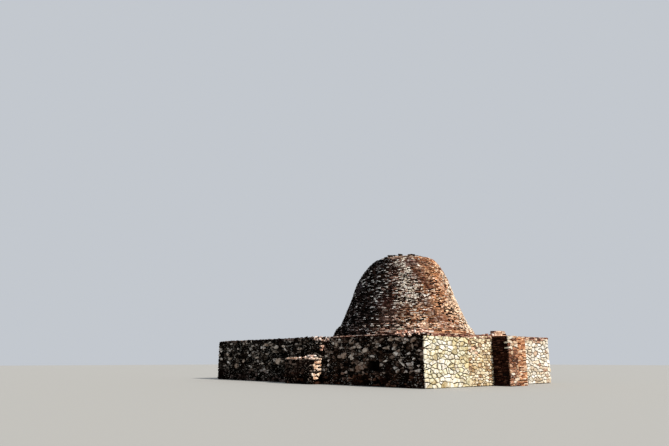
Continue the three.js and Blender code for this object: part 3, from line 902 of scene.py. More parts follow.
def levelsOf(node):
    # Height, radius and centre of each ring of corners on a round solid, from foot to head
    rings = {}
    for vertex in cadNodes[node].data.vertices:
        rings.setdefault(round(vertex.co.z, 3), []).append(vertex.co)
    fullest = max(len(ring) for ring in rings.values())
    levels = []
    for z, ring in sorted(rings.items()):
        if len(ring) >= fullest * roundBond["full"]:
            left, right = min(corner.x for corner in ring), max(corner.x for corner in ring)
            front, back = min(corner.y for corner in ring), max(corner.y for corner in ring)
            levels.append(Vector(((right + left) / 2, (back + front) / 2, z, (right - left) / 2)))
    return levels


def ringBeds(level, lift, brick, dice):
    # One course round its centre; lift tips the faces up where the surface lies back
    radius = level[3] + dice.uniform(-1, 1) * brick["ledge"]
    count = max(roundBond["fewest"], round(2 * math.pi * radius / brick["length"]))
    first, wander = dice.uniform(0, 2 * math.pi), roundBond["wander"]
    turns = [first + 2 * math.pi * (i + dice.uniform(-wander, wander)) / count for i in range(count)]
    turns.append(turns[0] + 2 * math.pi)
    beds = []
    for a, b in zip(turns[:-1], turns[1:]):
        spoke = levelWay((a + b) / 2)
        along, out = Vector((-spoke.y, spoke.x, 0)), (spoke + up * lift).normalized()
        beds.append((level.xyz + spoke * radius, along, out, (b - a) * radius))
    return beds


def roundCourses(node, brick, keep=None):
    levels = levelsOf(node)
    dice = random.Random(brick["seed"])
    beds = []
    done = 0.0
    for low, high in zip(levels[:-1], levels[1:]):
        rise, inward = high[2] - low[2], low[3] - high[3]
        length = math.hypot(rise, inward)
        lift = max(0.0, inward / rise - roundBond["liftFrom"])
        while done < length:
            beds += ringBeds(low.lerp(high, done / length), lift, brick, dice)
            done += brick["course"] * roundBond["step"]
        done -= length
    return [bed for bed in beds if keep is None or keep(bed[0])]


# Stones: every point of a scattered net claims the ground nearest to it, less half a joint

wornStone = {
    "cut": (0.4, 1.4), "cutMost": 0.42,  # shares of the stone's corner, and of the shorter edge beside it
    "bend": (-0.035, 0.02), "bendAt": (0.4, 0.6), "bendFrom": 0.2,  # in and out, where, and the least edge
    "shortest": 0.015}  # edges shorter than this stay
chinkWeight = -0.12  # a chink stone's claim, in squares of the columns' width
stoneBedded = 0.03  # the stones start this deep in the mortar
stagger = 0.25  # how far a row is shifted, to one side and then to the other, in columns
stoneNeighbours = (2.6, 3.1)  # columns and rows within which stones can meet


def wornOutline(outline, stone, dice):
    # Corners cut back and long edges bent a little
    worn = []
    for (x0, y0), (x1, y1), (x2, y2) in cornersOf(outline):
        before, after = math.hypot(x1 - x0, y1 - y0), math.hypot(x2 - x1, y2 - y1)
        if min(before, after) < wornStone["shortest"]:
            worn.append((x1, y1))
            continue
        most = wornStone["cutMost"]
        cut = min(stone["corner"] * dice.uniform(*wornStone["cut"]), before * most, after * most)
        worn.append((x1 + (x0 - x1) * cut / before, y1 + (y0 - y1) * cut / before))
        worn.append((x1 + (x2 - x1) * cut / after, y1 + (y2 - y1) * cut / after))
        if after > wornStone["bendFrom"]:
            bend = dice.uniform(*wornStone["bend"]) / after
            t = dice.uniform(*wornStone["bendAt"])
            worn.append((x1 + (x2 - x1) * t + (y2 - y1) * bend, y1 + (y2 - y1) * t - (x2 - x1) * bend))
    return worn


def stoneSites(low, high, stone, dice):
    # Rows of points: some left out for a larger stone, some with a chink stone beside them
    columns = max(2, round((high[0] - low[0]) / stone["length"]))
    rows = max(2, round((high[1] - low[1]) / stone["height"]))
    stepX, stepY = (high[0] - low[0]) / columns, (high[1] - low[1]) / rows
    sites = []
    for j in range(rows):
        shift = stagger if j % 2 else -stagger
        for i in range(columns + 1):
            if dice.random() < stone["merge"]:
                continue
            x = low[0] + (i + shift + stagger + dice.uniform(-1, 1) * stone["scatter"]) * stepX
            y = low[1] + (j + 0.5 + dice.uniform(-1, 1) * stone["drift"]) * stepY
            if low[0] < x < high[0]:
                sites.append((x, y, dice.uniform(-1, 1) * stone["variety"] * stepX * stepX))
            crowded = stone.get("crowd", 0.0) * (y - low[1]) / (high[1] - low[1])
            if dice.random() < stone["chink"] + crowded:
                beside = y + stepY * dice.uniform(-0.5, 0.5)
                sites.append((x + stepX * 0.5, beside, chinkWeight * stepX * stepX))
    return sites, stepX * stoneNeighbours[0], stepY * stoneNeighbours[1]


def stoneOutlines(ground, stone, mouth=None, skip=None):
    low = (min(x for x, y in ground), min(y for x, y in ground))
    high = (max(x for x, y in ground), max(y for x, y in ground))
    dice = random.Random(stone["seed"])
    sites, farX, farY = stoneSites(low, high, stone, dice)
    stretch = stone["stretch"] ** 2
    outlines = []
    for x, y, weight in sites:
        if skip and skip(x, y):
            continue
        outline = list(ground)
        if mouth:
            # The outline ends at whichever side of the mouth it lies beyond
            (left, bottom), (right, top) = mouth
            beyond = max((left - x, 1, 0, left), (x - right, -1, 0, -right), (bottom - y, 0, 1, bottom),
                         (y - top, 0, -1, -top))
            if beyond[0] < 0:
                continue
            outline = clipOutline(outline, *beyond[1:])
        for x2, y2, weight2 in sites:
            dx, dy = x2 - x, (y2 - y) * stretch
            if (dx or dy) and abs(dx) < farX and abs(y2 - y) < farY and outline:
                limit = (x2 * x2 - x * x + stretch * (y2 * y2 - y * y) + weight - weight2) / 2
                outline = clipOutline(outline, dx, dy, limit - stone["joint"] / 2 * math.hypot(dx, dy))
        if len(outline) > 2:
            outlines.append(wornOutline(outline, stone, dice))
    return outlines


def stoneMesh(place, ground, stone, finish, mouth=None, skip=None):
    corners, faces = [], []
    for outline in stoneOutlines(ground, stone, mouth, skip):
        faces.append(list(range(len(corners), len(corners) + len(outline))))
        corners += [(x, y, 0) for x, y in outline]
    mesh = bpy.data.meshes.new("outlines")
    mesh.from_pydata(corners, [], faces)
    values = {label: stone[label.lower()] for label in ("Proud", "Uneven", "Tilt", "Crest", "Chip", "Seed")}
    made = runTree(stoneTree, mesh, dict(values, Bedded=stoneBedded, Finish=finish))
    made.transform(place)
    return made


def facePlace(start, end):
    # Frame of an upright face: x along it, y up, z out, with its outside on the right of start to end
    along = (Vector((*end, 0)) - Vector((*start, 0))).normalized()
    return Matrix.Translation((*start, 0)) @ Matrix((along, up, along.cross(up))).transposed().to_4x4()


def stoneFace(start, end, bottom, top, stone, finish, mouth=None):
    length = math.dist(start, end)
    ground = [(0, bottom), (length, bottom), (length, top), (0, top)]
    return stoneMesh(facePlace(start, end), ground, stone, finish, mouth)


def stoneFloor(ground, z, stone, finish, skip=None):
    return stoneMesh(Matrix.Translation((0, 0, z)), ground, stone, finish, None, skip)


def addPiece(name, meshes, slot, *replaced):
    # Several meshes become one piece that rides with the building
    parts = [addToScene(name, mesh) for mesh in meshes]
    if len(parts) > 1:
        with bpy.context.temp_override(active_object=parts[0], object=parts[0], selected_objects=parts,
                                       selected_editable_objects=parts):
            bpy.ops.object.join()
    piece = parts[0]
    piece.name = name
    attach(piece, "root")
    if replaced:
        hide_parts(*replaced)
    print(name, len(piece.data.polygons), "faces")
    return piece


hewn = {"cuts": 3, "knocks": 12, "knockFrom": (0.74, 1.15), "squareness": 7}  # for a block from -1 to 1


def roughBlock(low, high, seed, finish, tone, squareness=hewn["squareness"]):
    # A hewn stone: a box with rounded, knocked edges and an uneven face
    dice = random.Random(seed)
    block = bmesh.new()
    bmesh.ops.create_cube(block, size=2.0)
    bmesh.ops.subdivide_edges(block, edges=block.edges[:], cuts=hewn["cuts"], use_grid_fill=True)
    half, centre = (high - low) / 2, (high + low) / 2
    worn = [(Vector((dice.uniform(-1, 1), dice.uniform(-1, 1), dice.uniform(-1, 1))).normalized(),
             dice.uniform(*hewn["knockFrom"])) for _ in range(hewn["knocks"])]
    for vertex in block.verts:
        vertex.co /= sum(abs(value) ** squareness for value in vertex.co) ** (1 / squareness)
        for away, limit in worn:
            vertex.co -= away * max(0.0, vertex.co.dot(away) - limit)
        vertex.co = Vector(value * size for value, size in zip(vertex.co, half)) + centre
    mesh = bpy.data.meshes.new("block")
    block.to_mesh(mesh)
    block.free()
    layer = mesh.attributes.new("tint", "FLOAT", "POINT")
    layer.data.foreach_set("value", [tone] * len(mesh.vertices))
    mesh.materials.append(finish)
    return mesh


# Lines of the building, from the frame

frontLow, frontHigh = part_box("wall_front_right")
stepLow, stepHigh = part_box("wall_front_left")
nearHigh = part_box("wall_right_near")[1]
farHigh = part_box("wall_right_far")[1]
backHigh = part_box("wall_back")[1]
ringLow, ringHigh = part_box("ring_lower")
xLeft, xSplit, xRight = stepLow.x, frontLow.x, frontHigh.x
yFront, yStep, yBack = frontLow.y, stepLow.y, backHigh.y
ySplit = nearHigh.y
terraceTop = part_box("paving_right")[1].z
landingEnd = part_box("landing_brick")[1].y
ringCentre = (ringLow + ringHigh) / 2
ringReach = (ringHigh.x - ringLow.x) / 2


# Spills: broken bricks that lie on a slope

# Ends of the run along x, a gap in it, y of its foot and head, height of the foot, rise at the start and at
# the end, the way the faces look, how far a brick turns, and its least and most length
frontSpill = {
    "start": 5.35, "end": 7.50, "gap": (6.86, 7.06), "foot": -6.51, "head": -6.17, "bottom": 2.95,
    "rise": (0.24, 0.30), "facing": (0.55, -0.42, 0.72), "turn": 0.6, "spans": (0.12, 0.24), "count": 78,
    "course": 0.10, "joint": 0.0, "depth": 0.07, "proud": 0.0, "wander": 0.02, "hollow": 0.0, "lean": 0.5,
    "chip": 0.04, "missing": 0.0, "seed": 331}


def spillMesh(brick, finish):
    dice = random.Random(brick["seed"])
    out = Vector(brick["facing"]).normalized()
    start, end, foot, head = brick["start"], brick["end"], brick["foot"], brick["head"]
    beds = []
    for _ in range(brick["count"]):
        part, t, turn = dice.random(), dice.random(), dice.uniform(-brick["turn"], brick["turn"])
        x = start + (end - start) * part
        if not brick["gap"][0] < x < brick["gap"][1]:
            rise = brick["rise"][0] + (brick["rise"][1] - brick["rise"][0]) * part
            place = Vector((x, foot + (head - foot) * t, brick["bottom"] + rise * t))
            along = levelWay(turn)
            along = (along - out * along.dot(out)).normalized()
            beds.append((place, along, out, dice.uniform(*brick["spans"])))
    return brickMesh(beds, brick, finish)


# Rubble walls

stoneShaded = {
    "length": 0.31, "height": 0.165, "scatter": 0.44, "drift": 0.36, "merge": 0.14, "chink": 0.34,
    "variety": 0.20, "stretch": 1.8, "joint": 0.040, "corner": 0.028, "proud": 0.072, "uneven": 0.028,
    "tilt": 0.30, "crest": 0.88, "chip": 0.05, "seed": 11}
stoneNear = {
    "length": 0.40, "height": 0.25, "scatter": 0.42, "drift": 0.30, "merge": 0.10, "chink": 0.26,
    "crowd": 0.60, "variety": 0.20, "stretch": 1.8, "joint": 0.040, "corner": 0.034, "proud": 0.055,
    "uneven": 0.020, "tilt": 0.14, "crest": 0.94, "chip": 0.045, "seed": 23}
stoneFar = {
    "length": 0.30, "height": 0.165, "scatter": 0.38, "drift": 0.26, "merge": 0.12, "chink": 0.25,
    "variety": 0.14, "stretch": 1.7, "joint": 0.034, "corner": 0.04, "proud": 0.055, "uneven": 0.014,
    "tilt": 0.14, "crest": 0.92, "chip": 0.03, "seed": 31}
stoneBeyond = dict(stoneFar, length=0.42, height=0.19, seed=37)
stoneBack = dict(stoneFar, length=0.40, height=0.25, seed=43)
drainMouth = ((3.08, 0.90), (4.02, 1.49))  # x and z of two corners
wallFoot = 0.03  # the lowest stones stand this far above the floor
bedDeep = 0.04  # stones that lie on a top start this deep in it
endLap, frontLap = 0.03, 0.04  # how far the stones of a face run past its corner
boulderShape = {"half": 0.10, "squareness": 4, "seed": 17}  # half of its depth

# Larger stones that stand out of the front: x, z, width, height, turn in degrees, tone
boulders = [
    (5.92, 1.32, 0.58, 0.15, -32, 0.97), (2.83, 2.15, 0.55, 0.28, 14, 0.72), (0.76, 1.8, 0.62, 0.4, 8, 0.45),
    (1.48, 1.72, 0.46, 0.36, 0, 0.80), (2.13, 1.04, 0.66, 0.42, 20, 0.22), (6.75, 2.30, 0.16, 0.34, 8, 0.62),
    (5.35, 1.95, 0.26, 0.14, 20, 0.92), (-0.30, 2.62, 0.30, 0.20, 0, 0.9), (-0.96, 1.80, 0.34, 0.12, 0, 0.98),
    (0.37, 2.85, 0.34, 0.12, 0, 1.0), (0.10, 2.54, 0.40, 0.26, 10, 0.60), (0.55, 2.32, 0.34, 0.22, -8, 0.82),
    (1.53, 2.68, 0.46, 0.34, 5, 0.52), (2.21, 2.36, 0.36, 0.24, 12, 0.62),
    (3.81, 2.65, 0.42, 0.24, -25, 0.64),
    (4.28, 2.77, 0.34, 0.18, 8, 0.48), (5.04, 2.73, 0.56, 0.22, 10, 0.58), (5.56, 2.74, 0.4, 0.2, -20, 0.54),
    (4.77, 2.26, 0.34, 0.26, 6, 0.64), (5.33, 2.30, 0.28, 0.30, -6, 0.60), (5.98, 2.23, 0.18, 0.26, 5, 0.70),
    (6.77, 2.68, 0.5, 0.28, 30, 0.4), (4.52, 1.48, 0.42, 0.12, 12, 0.88), (6.8, 1.63, 0.3, 0.12, 20, 0.95),
    (2.77, 1.20, 0.44, 0.30, 0, 0.20)]
wingBoulders = [
    (-12.01, 1.10, 0.62, 0.42, -10, 0.55), (-6.23, 1.45, 0.78, 0.44, 12, 0.68),
    (-13.54, 1.99, 0.50, 0.24, -12, 0.72), (-7.80, 2.66, 0.62, 0.26, 0, 0.66),
    (-6.59, 2.48, 0.36, 0.24, 6, 0.85), (-5.57, 2.50, 0.40, 0.20, -8, 0.85),
    (-11.0, 1.49, 0.48, 0.34, 10, 0.62), (-8.41, 1.30, 0.70, 0.14, 4, 0.78),
    (-9.12, 1.70, 0.56, 0.14, 10, 0.70), (-3.64, 2.30, 0.60, 0.16, 8, 0.74)]

# Broken brickwork where the front wall steps: bricks, and runs with their ends, foot and head
brokenBricks = {
    "length": 0.24, "course": 0.085, "joint": 0.014, "depth": 0.16, "proud": 0.06, "wander": 0.03,
    "hollow": 0.0, "lean": 0.12, "chip": 0.05, "missing": 0.10, "seed": 61}
brokenRuns = [((xSplit - 0.62, yStep), (xSplit, yStep), 2.80, 3.03),
              ((xSplit, yFront), (xSplit + 0.55, yFront), 2.72, 2.93)]
litBricks = dict(brokenBricks, length=0.16, course=0.12, proud=0.09, lean=0.06, missing=0.0, seed=66)
litRun = ((xSplit, yStep - 0.03), (xSplit, yFront - 0.06), 2.14, 2.52)
stepSpill = dict(
    frontSpill, start=xSplit - 0.75, end=xSplit + 0.05, gap=(0, 0), foot=yStep - 0.11, head=yStep + 0.12,
    bottom=2.90, rise=(0.20, 0.16), count=24, seed=63)
besideSpill = dict(
    stepSpill, start=xSplit + 0.02, end=xSplit + 0.62, foot=yFront - 0.11, head=yFront + 0.04, bottom=2.84,
    rise=(0.14, 0.20), count=14, seed=64)


def boulderMesh(start, end, x, z, width, height, turn, tone, finish=boulderStone):
    # A stone on an upright face, x measured along it from its start
    half = Vector((width / 2, height / 2, boulderShape["half"]))
    seed = round(1000 * (x + z)) + boulderShape["seed"]
    block = roughBlock(-half, half, seed, finish, tone, boulderShape["squareness"])
    block.transform(facePlace(start, end) @ Matrix.Translation((x, z, 0.0)) @
                    Matrix.Rotation(math.radians(turn), 4, "Z"))
    return block


def frontStones():
    front = ((xSplit, yFront), (xRight, yFront))
    mouth = tuple((x - xSplit, z) for x, z in drainMouth)
    shown = [boulderMesh(*front, x - xSplit, *rest) for x, *rest in boulders]
    laid = stoneFace(*front, wallFoot, frontHigh.z, stoneShaded, shadeStone, mouth)
    addPiece("stones_front_right", [laid] + shown, "rubble_dark")


def wingStones():
    wing = ((xLeft, yStep), (xSplit, yStep))
    shown = [boulderMesh(*wing, x - xLeft, *rest) for x, *rest in wingBoulders]
    laid = stoneFace(*wing, wallFoot, stepHigh.z, dict(stoneShaded, seed=12), wingStone)
    step = stoneFace((xSplit, yStep - endLap), (xSplit, yFront), wallFoot, stepHigh.z,
                     dict(stoneShaded, seed=13), shadeStone)
    top = stoneFloor(rectangle(stepLow, stepHigh), stepHigh.z - bedDeep, dict(stoneShaded, seed=14), lowStone)
    broken = [bed for run in brokenRuns for bed in faceBeds(*run, brokenBricks)]
    addPiece("stones_front_left", [
        laid, step, top, brickMesh(broken, brokenBricks, shadeEdgeBrick),
        brickMesh(faceBeds(*litRun, litBricks), litBricks, spillBrick), spillMesh(stepSpill, pinkBrick),
        spillMesh(besideSpill, pinkBrick)] + shown, "rubble_dark")


def sideStones():
    addPiece("stones_right_near", [
        stoneFace((xRight, yFront - frontLap), (xRight, ySplit), wallFoot, nearHigh.z, stoneNear, paleStone)],
        "rubble_pale")
    split, landing, end = (xRight, ySplit), (xRight, landingEnd), (xRight, yBack + endLap)
    addPiece("stones_right_far", [
        stoneFace(split, landing, wallFoot, farHigh.z, stoneFar, tanStone),
        stoneFace(landing, end, wallFoot, farHigh.z, stoneBeyond, creamStone)], "rubble_tan")
    addPiece("stones_back", [
        stoneFace((xRight, yBack), (xLeft - frontLap, yBack), wallFoot, backHigh.z, stoneBack, tanStone)],
        "rubble_tan")
    addPiece("stones_left_end", [
        stoneFace((xLeft, yBack), (xLeft, yStep - frontLap), wallFoot, backHigh.z,
                  dict(stoneShaded, seed=15), shadeStone)], "rubble_dark")


frontStones()
wingStones()
sideStones()
print("walls set")


# Copings and the upper tier

copingBricks = {
    "length": 0.30, "course": 0.056, "joint": 0.010, "depth": 0.16, "proud": 0.022, "wander": 0.014,
    "hollow": 0.0, "lean": 0.035, "chip": 0.020, "missing": 0.04, "seed": 301}
frontCoping = dict(copingBricks, length=0.24, wander=0.022, missing=0.12, seed=302)
raggedCourse = dict(copingBricks, course=0.075, proud=0.085, wander=0.012, missing=0.22)
raggedHigh = 0.15  # height of the ragged courses under the coping
ledgeBricks = dict(
    frontCoping, length=0.26, course=0.075, proud=0.045, wander=0.014, lean=0.05, missing=0.14, seed=332)
ledgeRun = ((-0.25, yFront), (5.45, yFront), 2.985, 3.06)
ledgeFacing = Vector((0, -0.92, 0.39))  # worn bricks lie back a little, so that the sun catches them
looseOnCoping = dict(copingBricks, course=0.16, depth=0.14, proud=0.0, lean=0.15, missing=0.0, seed=311)
# Bricks left lying on the sunlit coping: y, height above the terrace, length
bumps = [(-0.72, 0.07, 0.22), (-0.36, 0.10, 0.16), (0.05, 0.08, 0.20), (0.22, 0.12, 0.18)]
bumpsIn = 0.12  # from the wall's face
redBumps = 3  # the others are pale


# Which edges of a slab show, from the way out and the x of their middle

def atFront(out, x):
    return out.y < -0.5 or out.x > 0.5 or x < xSplit + 0.4


def atRight(out, x):
    return out.x > 0.5


def atBack(out, x):
    return out.y > 0.5 or abs(out.x) > 0.5


def atLeft(out, x):
    return out.x < -0.5


def frontCopingBricks():
    addPiece("coping_front_bricks", slabBricks("coping_front", frontCoping, shadeEdgeBrick, atFront, paintedShadeBrick),
             "brick")


def rightCopings():
    for number, node in enumerate(("coping_right_near", "coping_right_middle", "coping_right_far")):
        laid = slabBricks(node, dict(copingBricks, seed=303 + number), sunEdgeBrick, atRight)
        if number:
            low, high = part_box(node)
            under = dict(raggedCourse, seed=331 + number)
            beds = faceBeds((xRight, low.y), (xRight, high.y), low.z - raggedHigh, low.z, under)
            laid.append(brickMesh(beds, under, sunEdgeBrick))
        addPiece(node + "_bricks", laid, "brick_pale")


def hiddenCopings():
    addPiece("coping_back_bricks", slabBricks("coping_back", dict(copingBricks, seed=307), redBrick, atBack),
             "brick")
    addPiece("coping_left_bricks",
             slabBricks("coping_left_end", dict(copingBricks, seed=308), redBrick, atLeft), "brick")


def looseCopings():
    beds = [(Vector((xRight - bumpsIn, y, terraceTop + height)), Vector((0, 1, 0)), up, length)
            for y, height, length in bumps]
    addPiece("coping_right_loose", [brickMesh(beds[:redBumps], looseOnCoping, sunEdgeBrick),
                                    brickMesh(beds[redBumps:], looseOnCoping, pinkBrick)], "brick_pale")
    edge = [(place, along, ledgeFacing, span) for place, along, _, span in faceBeds(*ledgeRun, ledgeBricks)]
    spilled = [spillMesh(frontSpill, spillBrick), brickMesh(edge, ledgeBricks, spillBrick)]
    addPiece("coping_front_spill", spilled, "brick")


frontCopingBricks()
rightCopings()
hiddenCopings()
looseCopings()

tierBricks = dict(copingBricks, course=0.072, joint=0.012, missing=0.03, seed=321)
stubBricks = dict(tierBricks, seed=323)
stubUpright = 0.78  # share of the stub's length before its top slopes down
stubSlope = {"courses": 3, "facing": Vector((0, 0.7, 0.7))}


def tiers():
    addPiece("tier_front_bricks", slabBricks("tier_front", tierBricks, brokenBrick, None, paintedShadeBrick), "brick")
    addPiece("tier_right_bricks", slabBricks("tier_right", dict(tierBricks, seed=322), salmonBrick),
             "brick_pale")


def tierStub():
    # Upright near end, sloping far end
    low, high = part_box("tier_stub")
    slopeFoot, slopeHead = high.y, low.y + (high.y - low.y) * stubUpright

    def endAt(z):
        return slopeFoot + (slopeHead - slopeFoot) * (z - low.z) / (high.z - low.z) - low.y

    # The face towards the sun and the top take the pale stubBrick, partly painted sunlight; the near face, in
    # shade, the darker redBrick
    lit = faceBeds((high.x, low.y), (high.x, high.y), low.z, high.z, stubBricks, endAt)
    shaded = faceBeds((low.x, low.y), (high.x, low.y), low.z, high.z, stubBricks)
    flat = flatBrick(stubBricks)
    roof = topBeds((low.x, low.y), (high.x, slopeHead), high.z, flat)
    for i in range(stubSlope["courses"]):
        t = (i + 0.5) / stubSlope["courses"]
        y, z = slopeHead + (slopeFoot - slopeHead) * t, high.z + (low.z - high.z) * t
        place = Vector(((low.x + high.x) / 2, y, z))
        roof.append((place, Vector((1, 0, 0)), stubSlope["facing"], high.x - low.x))
    addPiece("tier_stub_bricks", [
        brickMesh(lit, stubBricks, stubBrick), brickMesh(shaded, stubBricks, redBrick),
        brickMesh(roof, flat, stubBrick)], "brick_pale")


tiers()
tierStub()
print("copings laid")


# Loose and rough blocks

longBlock = {"seed": 5, "tone": 0.7, "over": Vector((0, 0, 0.015))}  # it rises a little past its solid


heapIn = 0.55  # how far the two rows of a heap stand from its edges, in depths of a brick


def heapBricks(low, high, brick, finish):
    # A broken heap: courses of whole and half bricks, the top one shorter
    dice = random.Random(brick["seed"])
    beds = []
    courses = max(1, round((high.z - low.z) / brick["course"]))
    for i in range(courses):
        z = low.z + (i + 0.5) * (high.z - low.z) / courses
        inset = 0.5 * (high.x - low.x) * brick["taper"] * i / courses
        for y in (low.y + brick["depth"] * heapIn, high.y - brick["depth"] * heapIn):
            for a, b in cutLengths(high.x - low.x - inset * 2, brick["length"], dice, i % 2):
                along = levelWay(dice.uniform(-brick["turn"], brick["turn"]))
                out = along.cross(up)
                place = Vector((low.x + inset + (a + b) / 2, y, z)) + out * brick["depth"] * 0.5
                beds.append((place, along, out, b - a))
    return brickMesh(beds, brick, finish)


def tierBlock():
    low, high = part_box("tier_block")
    block = roughBlock(low, high + longBlock["over"], longBlock["seed"], paleStone, longBlock["tone"])
    addPiece("tier_block_stone", [block], "rubble_pale", "tier_block")


tierBlock()


# Landing block: one half of stone and brick, one half of brick

landingBricks = {
    "length": 0.27, "course": 0.074, "joint": 0.012, "depth": 0.16, "proud": 0.022, "wander": 0.016,
    "hollow": 0.0, "lean": 0.04, "chip": 0.024, "missing": 0.04, "seed": 401}
landingStones = {
    "length": 0.30, "height": 0.16, "scatter": 0.30, "drift": 0.2, "merge": 0.08, "chink": 0.1,
    "variety": 0.1, "stretch": 2.0, "joint": 0.022, "corner": 0.04, "proud": 0.05, "uneven": 0.014,
    "tilt": 0.12, "crest": 0.92, "chip": 0.03, "seed": 411}
# Pale stones at the corner
quoins = dict(landingBricks, length=0.30, course=0.11, proud=0.04, missing=0.0, seed=402)
quoinHeights = [2.60, 2.28]
quoinSpan, quoinIn = 0.28, 0.13
brickFoot = 0.01  # the lowest bricks stand this far above the floor


def landingStone():
    low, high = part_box("landing_stone")
    # The near face, away from the sun, is laid in the painted-shade brick
    front = faceBeds((low.x, low.y), (high.x, low.y), brickFoot, high.z, landingBricks)
    corner = [(Vector((high.x - quoinIn, low.y, z)), Vector((1, 0, 0)), Vector((0, -1, 0)), quoinSpan)
              for z in quoinHeights]
    flat = flatBrick(landingBricks)
    addPiece("landing_stone_skin", [
        brickMesh(front, landingBricks, paintedShadeBrick), brickMesh(corner, quoins, paleStone),
        stoneFace((high.x, low.y - endLap), (high.x, high.y), wallFoot, high.z, landingStones, mixedStone),
        brickMesh(topBeds(low, high, high.z, flat), flat, salmonBrick)], "brick_dark")


def landingBrick():
    low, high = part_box("landing_brick")
    brick = dict(landingBricks, seed=405)
    beds = faceBeds((high.x, low.y), (high.x, high.y), brickFoot, high.z, brick)
    beds += faceBeds((high.x, high.y), (low.x, high.y), brickFoot, high.z, brick)
    flat = flatBrick(brick)
    addPiece("landing_brick_skin", [
        brickMesh(beds, brick, salmonBrick), brickMesh(topBeds(low, high, high.z, flat), flat, salmonBrick)],
        "brick_pale")


landingStone()
landingBrick()
print("landing laid")


# Low broken block: dark rubble front, pale broken end, a course of rounded stones on top

lowStones = dict(stoneShaded, length=0.34, height=0.2, seed=71)
endStones = dict(lowStones, length=0.28, height=0.19, proud=0.08, uneven=0.03, tilt=0.3)
courseBricks = {
    "length": 0.30, "course": 0.11, "joint": 0.02, "depth": 0.22, "proud": 0.05, "wander": 0.02,
    "hollow": 0.0, "lean": 0.08, "chip": 0.05, "missing": 0.05, "seed": 421}
# Broken edge of the course, low at the far end and higher towards the broken end
courseSpill = dict(
    frontSpill, start=-4.02, end=-1.22, gap=(0, 0), foot=-7.60, head=-7.36, bottom=1.62, rise=(0.02, 0.17),
    count=36, seed=427)
# The last bricks on top lie towards the broken end, a course darkened as painted shade under a pale one
stubHeap = dict(landingBricks, course=0.09, lean=0.12, chip=0.04, depth=0.2, taper=0.3, turn=0.25, seed=425)
stubFoot = (Vector((-1.60, -7.46, 1.70)), Vector((-1.28, -7.10, 1.78)))
stubHead = (Vector((-1.64, -7.53, 1.78)), Vector((-1.22, -7.06, 1.87)))
# Stones of the broken end that catch the sun: y, z, width, height, turn in degrees, tone
endLumps = [
    (-7.02, 1.4, 0.62, 0.22, 4, 0.62), (-6.86, 1.17, 0.34, 0.24, -10, 0.75),
    (-7.16, 1.12, 0.28, 0.2, 20, 0.55),
    (-6.98, 0.93, 0.3, 0.18, 0, 0.7), (-7.3, 0.86, 0.16, 0.14, 30, 0.9), (-7.36, 0.6, 0.36, 0.22, -12, 0.85),
    (-7.04, 0.6, 0.28, 0.22, 15, 0.65), (-7.22, 0.4, 0.42, 0.18, 5, 0.5), (-6.85, 0.7, 0.18, 0.16, 0, 0.45),
    (-7.32, 1.2, 0.24, 0.24, 12, 0.6), (-7.14, 0.97, 0.24, 0.18, -14, 0.8), (-6.82, 0.95, 0.2, 0.2, 6, 0.7),
    (-7.3, 1.02, 0.16, 0.14, 0, 0.5), (-7.42, 1.62, 0.3, 0.14, 4, 0.85), (-7.12, 1.645, 0.28, 0.12, -5, 0.95),
    (-6.86, 1.60, 0.26, 0.15, 8, 0.8)]
lumpsOut = 0.02  # past the end's face


def lowBlock():
    low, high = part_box("low_block")
    outline = topOutline("low_block")
    faces = []
    for number, (start, end) in enumerate(edgesOf(outline)):
        # Only the back stays bare; the broken end looks towards +X
        out = outwards(start, end)
        if out.y < 0.5:
            stone = dict(endStones if out.x > 0.3 else lowStones, seed=73 + number)
            faces.append(stoneFace(start, end, wallFoot, high.z, stone, lowStone))
    faces.append(stoneFloor(outline, high.z - bedDeep, dict(lowStones, seed=78), lowStone))
    end = ((high.x + lumpsOut, low.y), (high.x + lumpsOut, high.y))
    faces += [boulderMesh(*end, y - low.y, *rest, lumpStone) for y, *rest in endLumps]
    addPiece("low_block_stones", faces, "rubble_dark")


def lowCourse():
    laid = slabBricks("low_block_course", courseBricks, lumpStone, lambda out, x: out.y < 0.5)
    addPiece("low_block_course_stones", laid + [spillMesh(courseSpill, pinkBrick)], "brick")
    heaps = [heapBricks(*stubFoot, stubHeap, paintedShadeBrick), heapBricks(*stubHead, stubHeap, pinkBrick)]
    addPiece("low_block_stub_bricks", heaps, "brick_pale", "low_block_stub")


lowBlock()
lowCourse()
print("low block set")


# Paving: bricks beside the dome, irregular flags on the long part

pavingBricks = {
    "length": 0.31, "course": 0.16, "joint": 0.014, "depth": 0.06, "proud": 0.010, "wander": 0.010,
    "hollow": 0.0, "lean": 0.012, "chip": 0.02, "missing": 0.05, "seed": 501}
flags = {
    "length": 0.60, "height": 0.50, "scatter": 0.36, "drift": 0.3, "merge": 0.08, "chink": 0.15,
    "variety": 0.1, "stretch": 1.2, "joint": 0.035, "corner": 0.05, "proud": 0.014, "uneven": 0.006,
    "tilt": 0.02, "crest": 0.97, "chip": 0.02, "seed": 511}
ringClear = {"bricks": 0.05, "flags": -0.1}  # how far the paving stays off the base ring
flagsDeep = 0.010


def offRing(x, y):
    return math.hypot(x - ringCentre.x, y - ringCentre.y) - ringReach


def paving():
    low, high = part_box("paving_right")
    beds = topBeds(low, high, high.z, pavingBricks,
                   lambda place: offRing(place.x, place.y) > ringClear["bricks"])
    addPiece("paving_right_bricks", [brickMesh(beds, pavingBricks, redBrick)], "brick")
    low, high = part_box("paving_left")
    laid = stoneFloor(rectangle(low, high), high.z - flagsDeep, flags, dustyStone,
                      lambda x, y: offRing(x, y) <= ringClear["flags"])
    addPiece("paving_left_flags", [laid], "brick_pale")


paving()
print("paving laid")


# Stupa: base ring, dome and crown

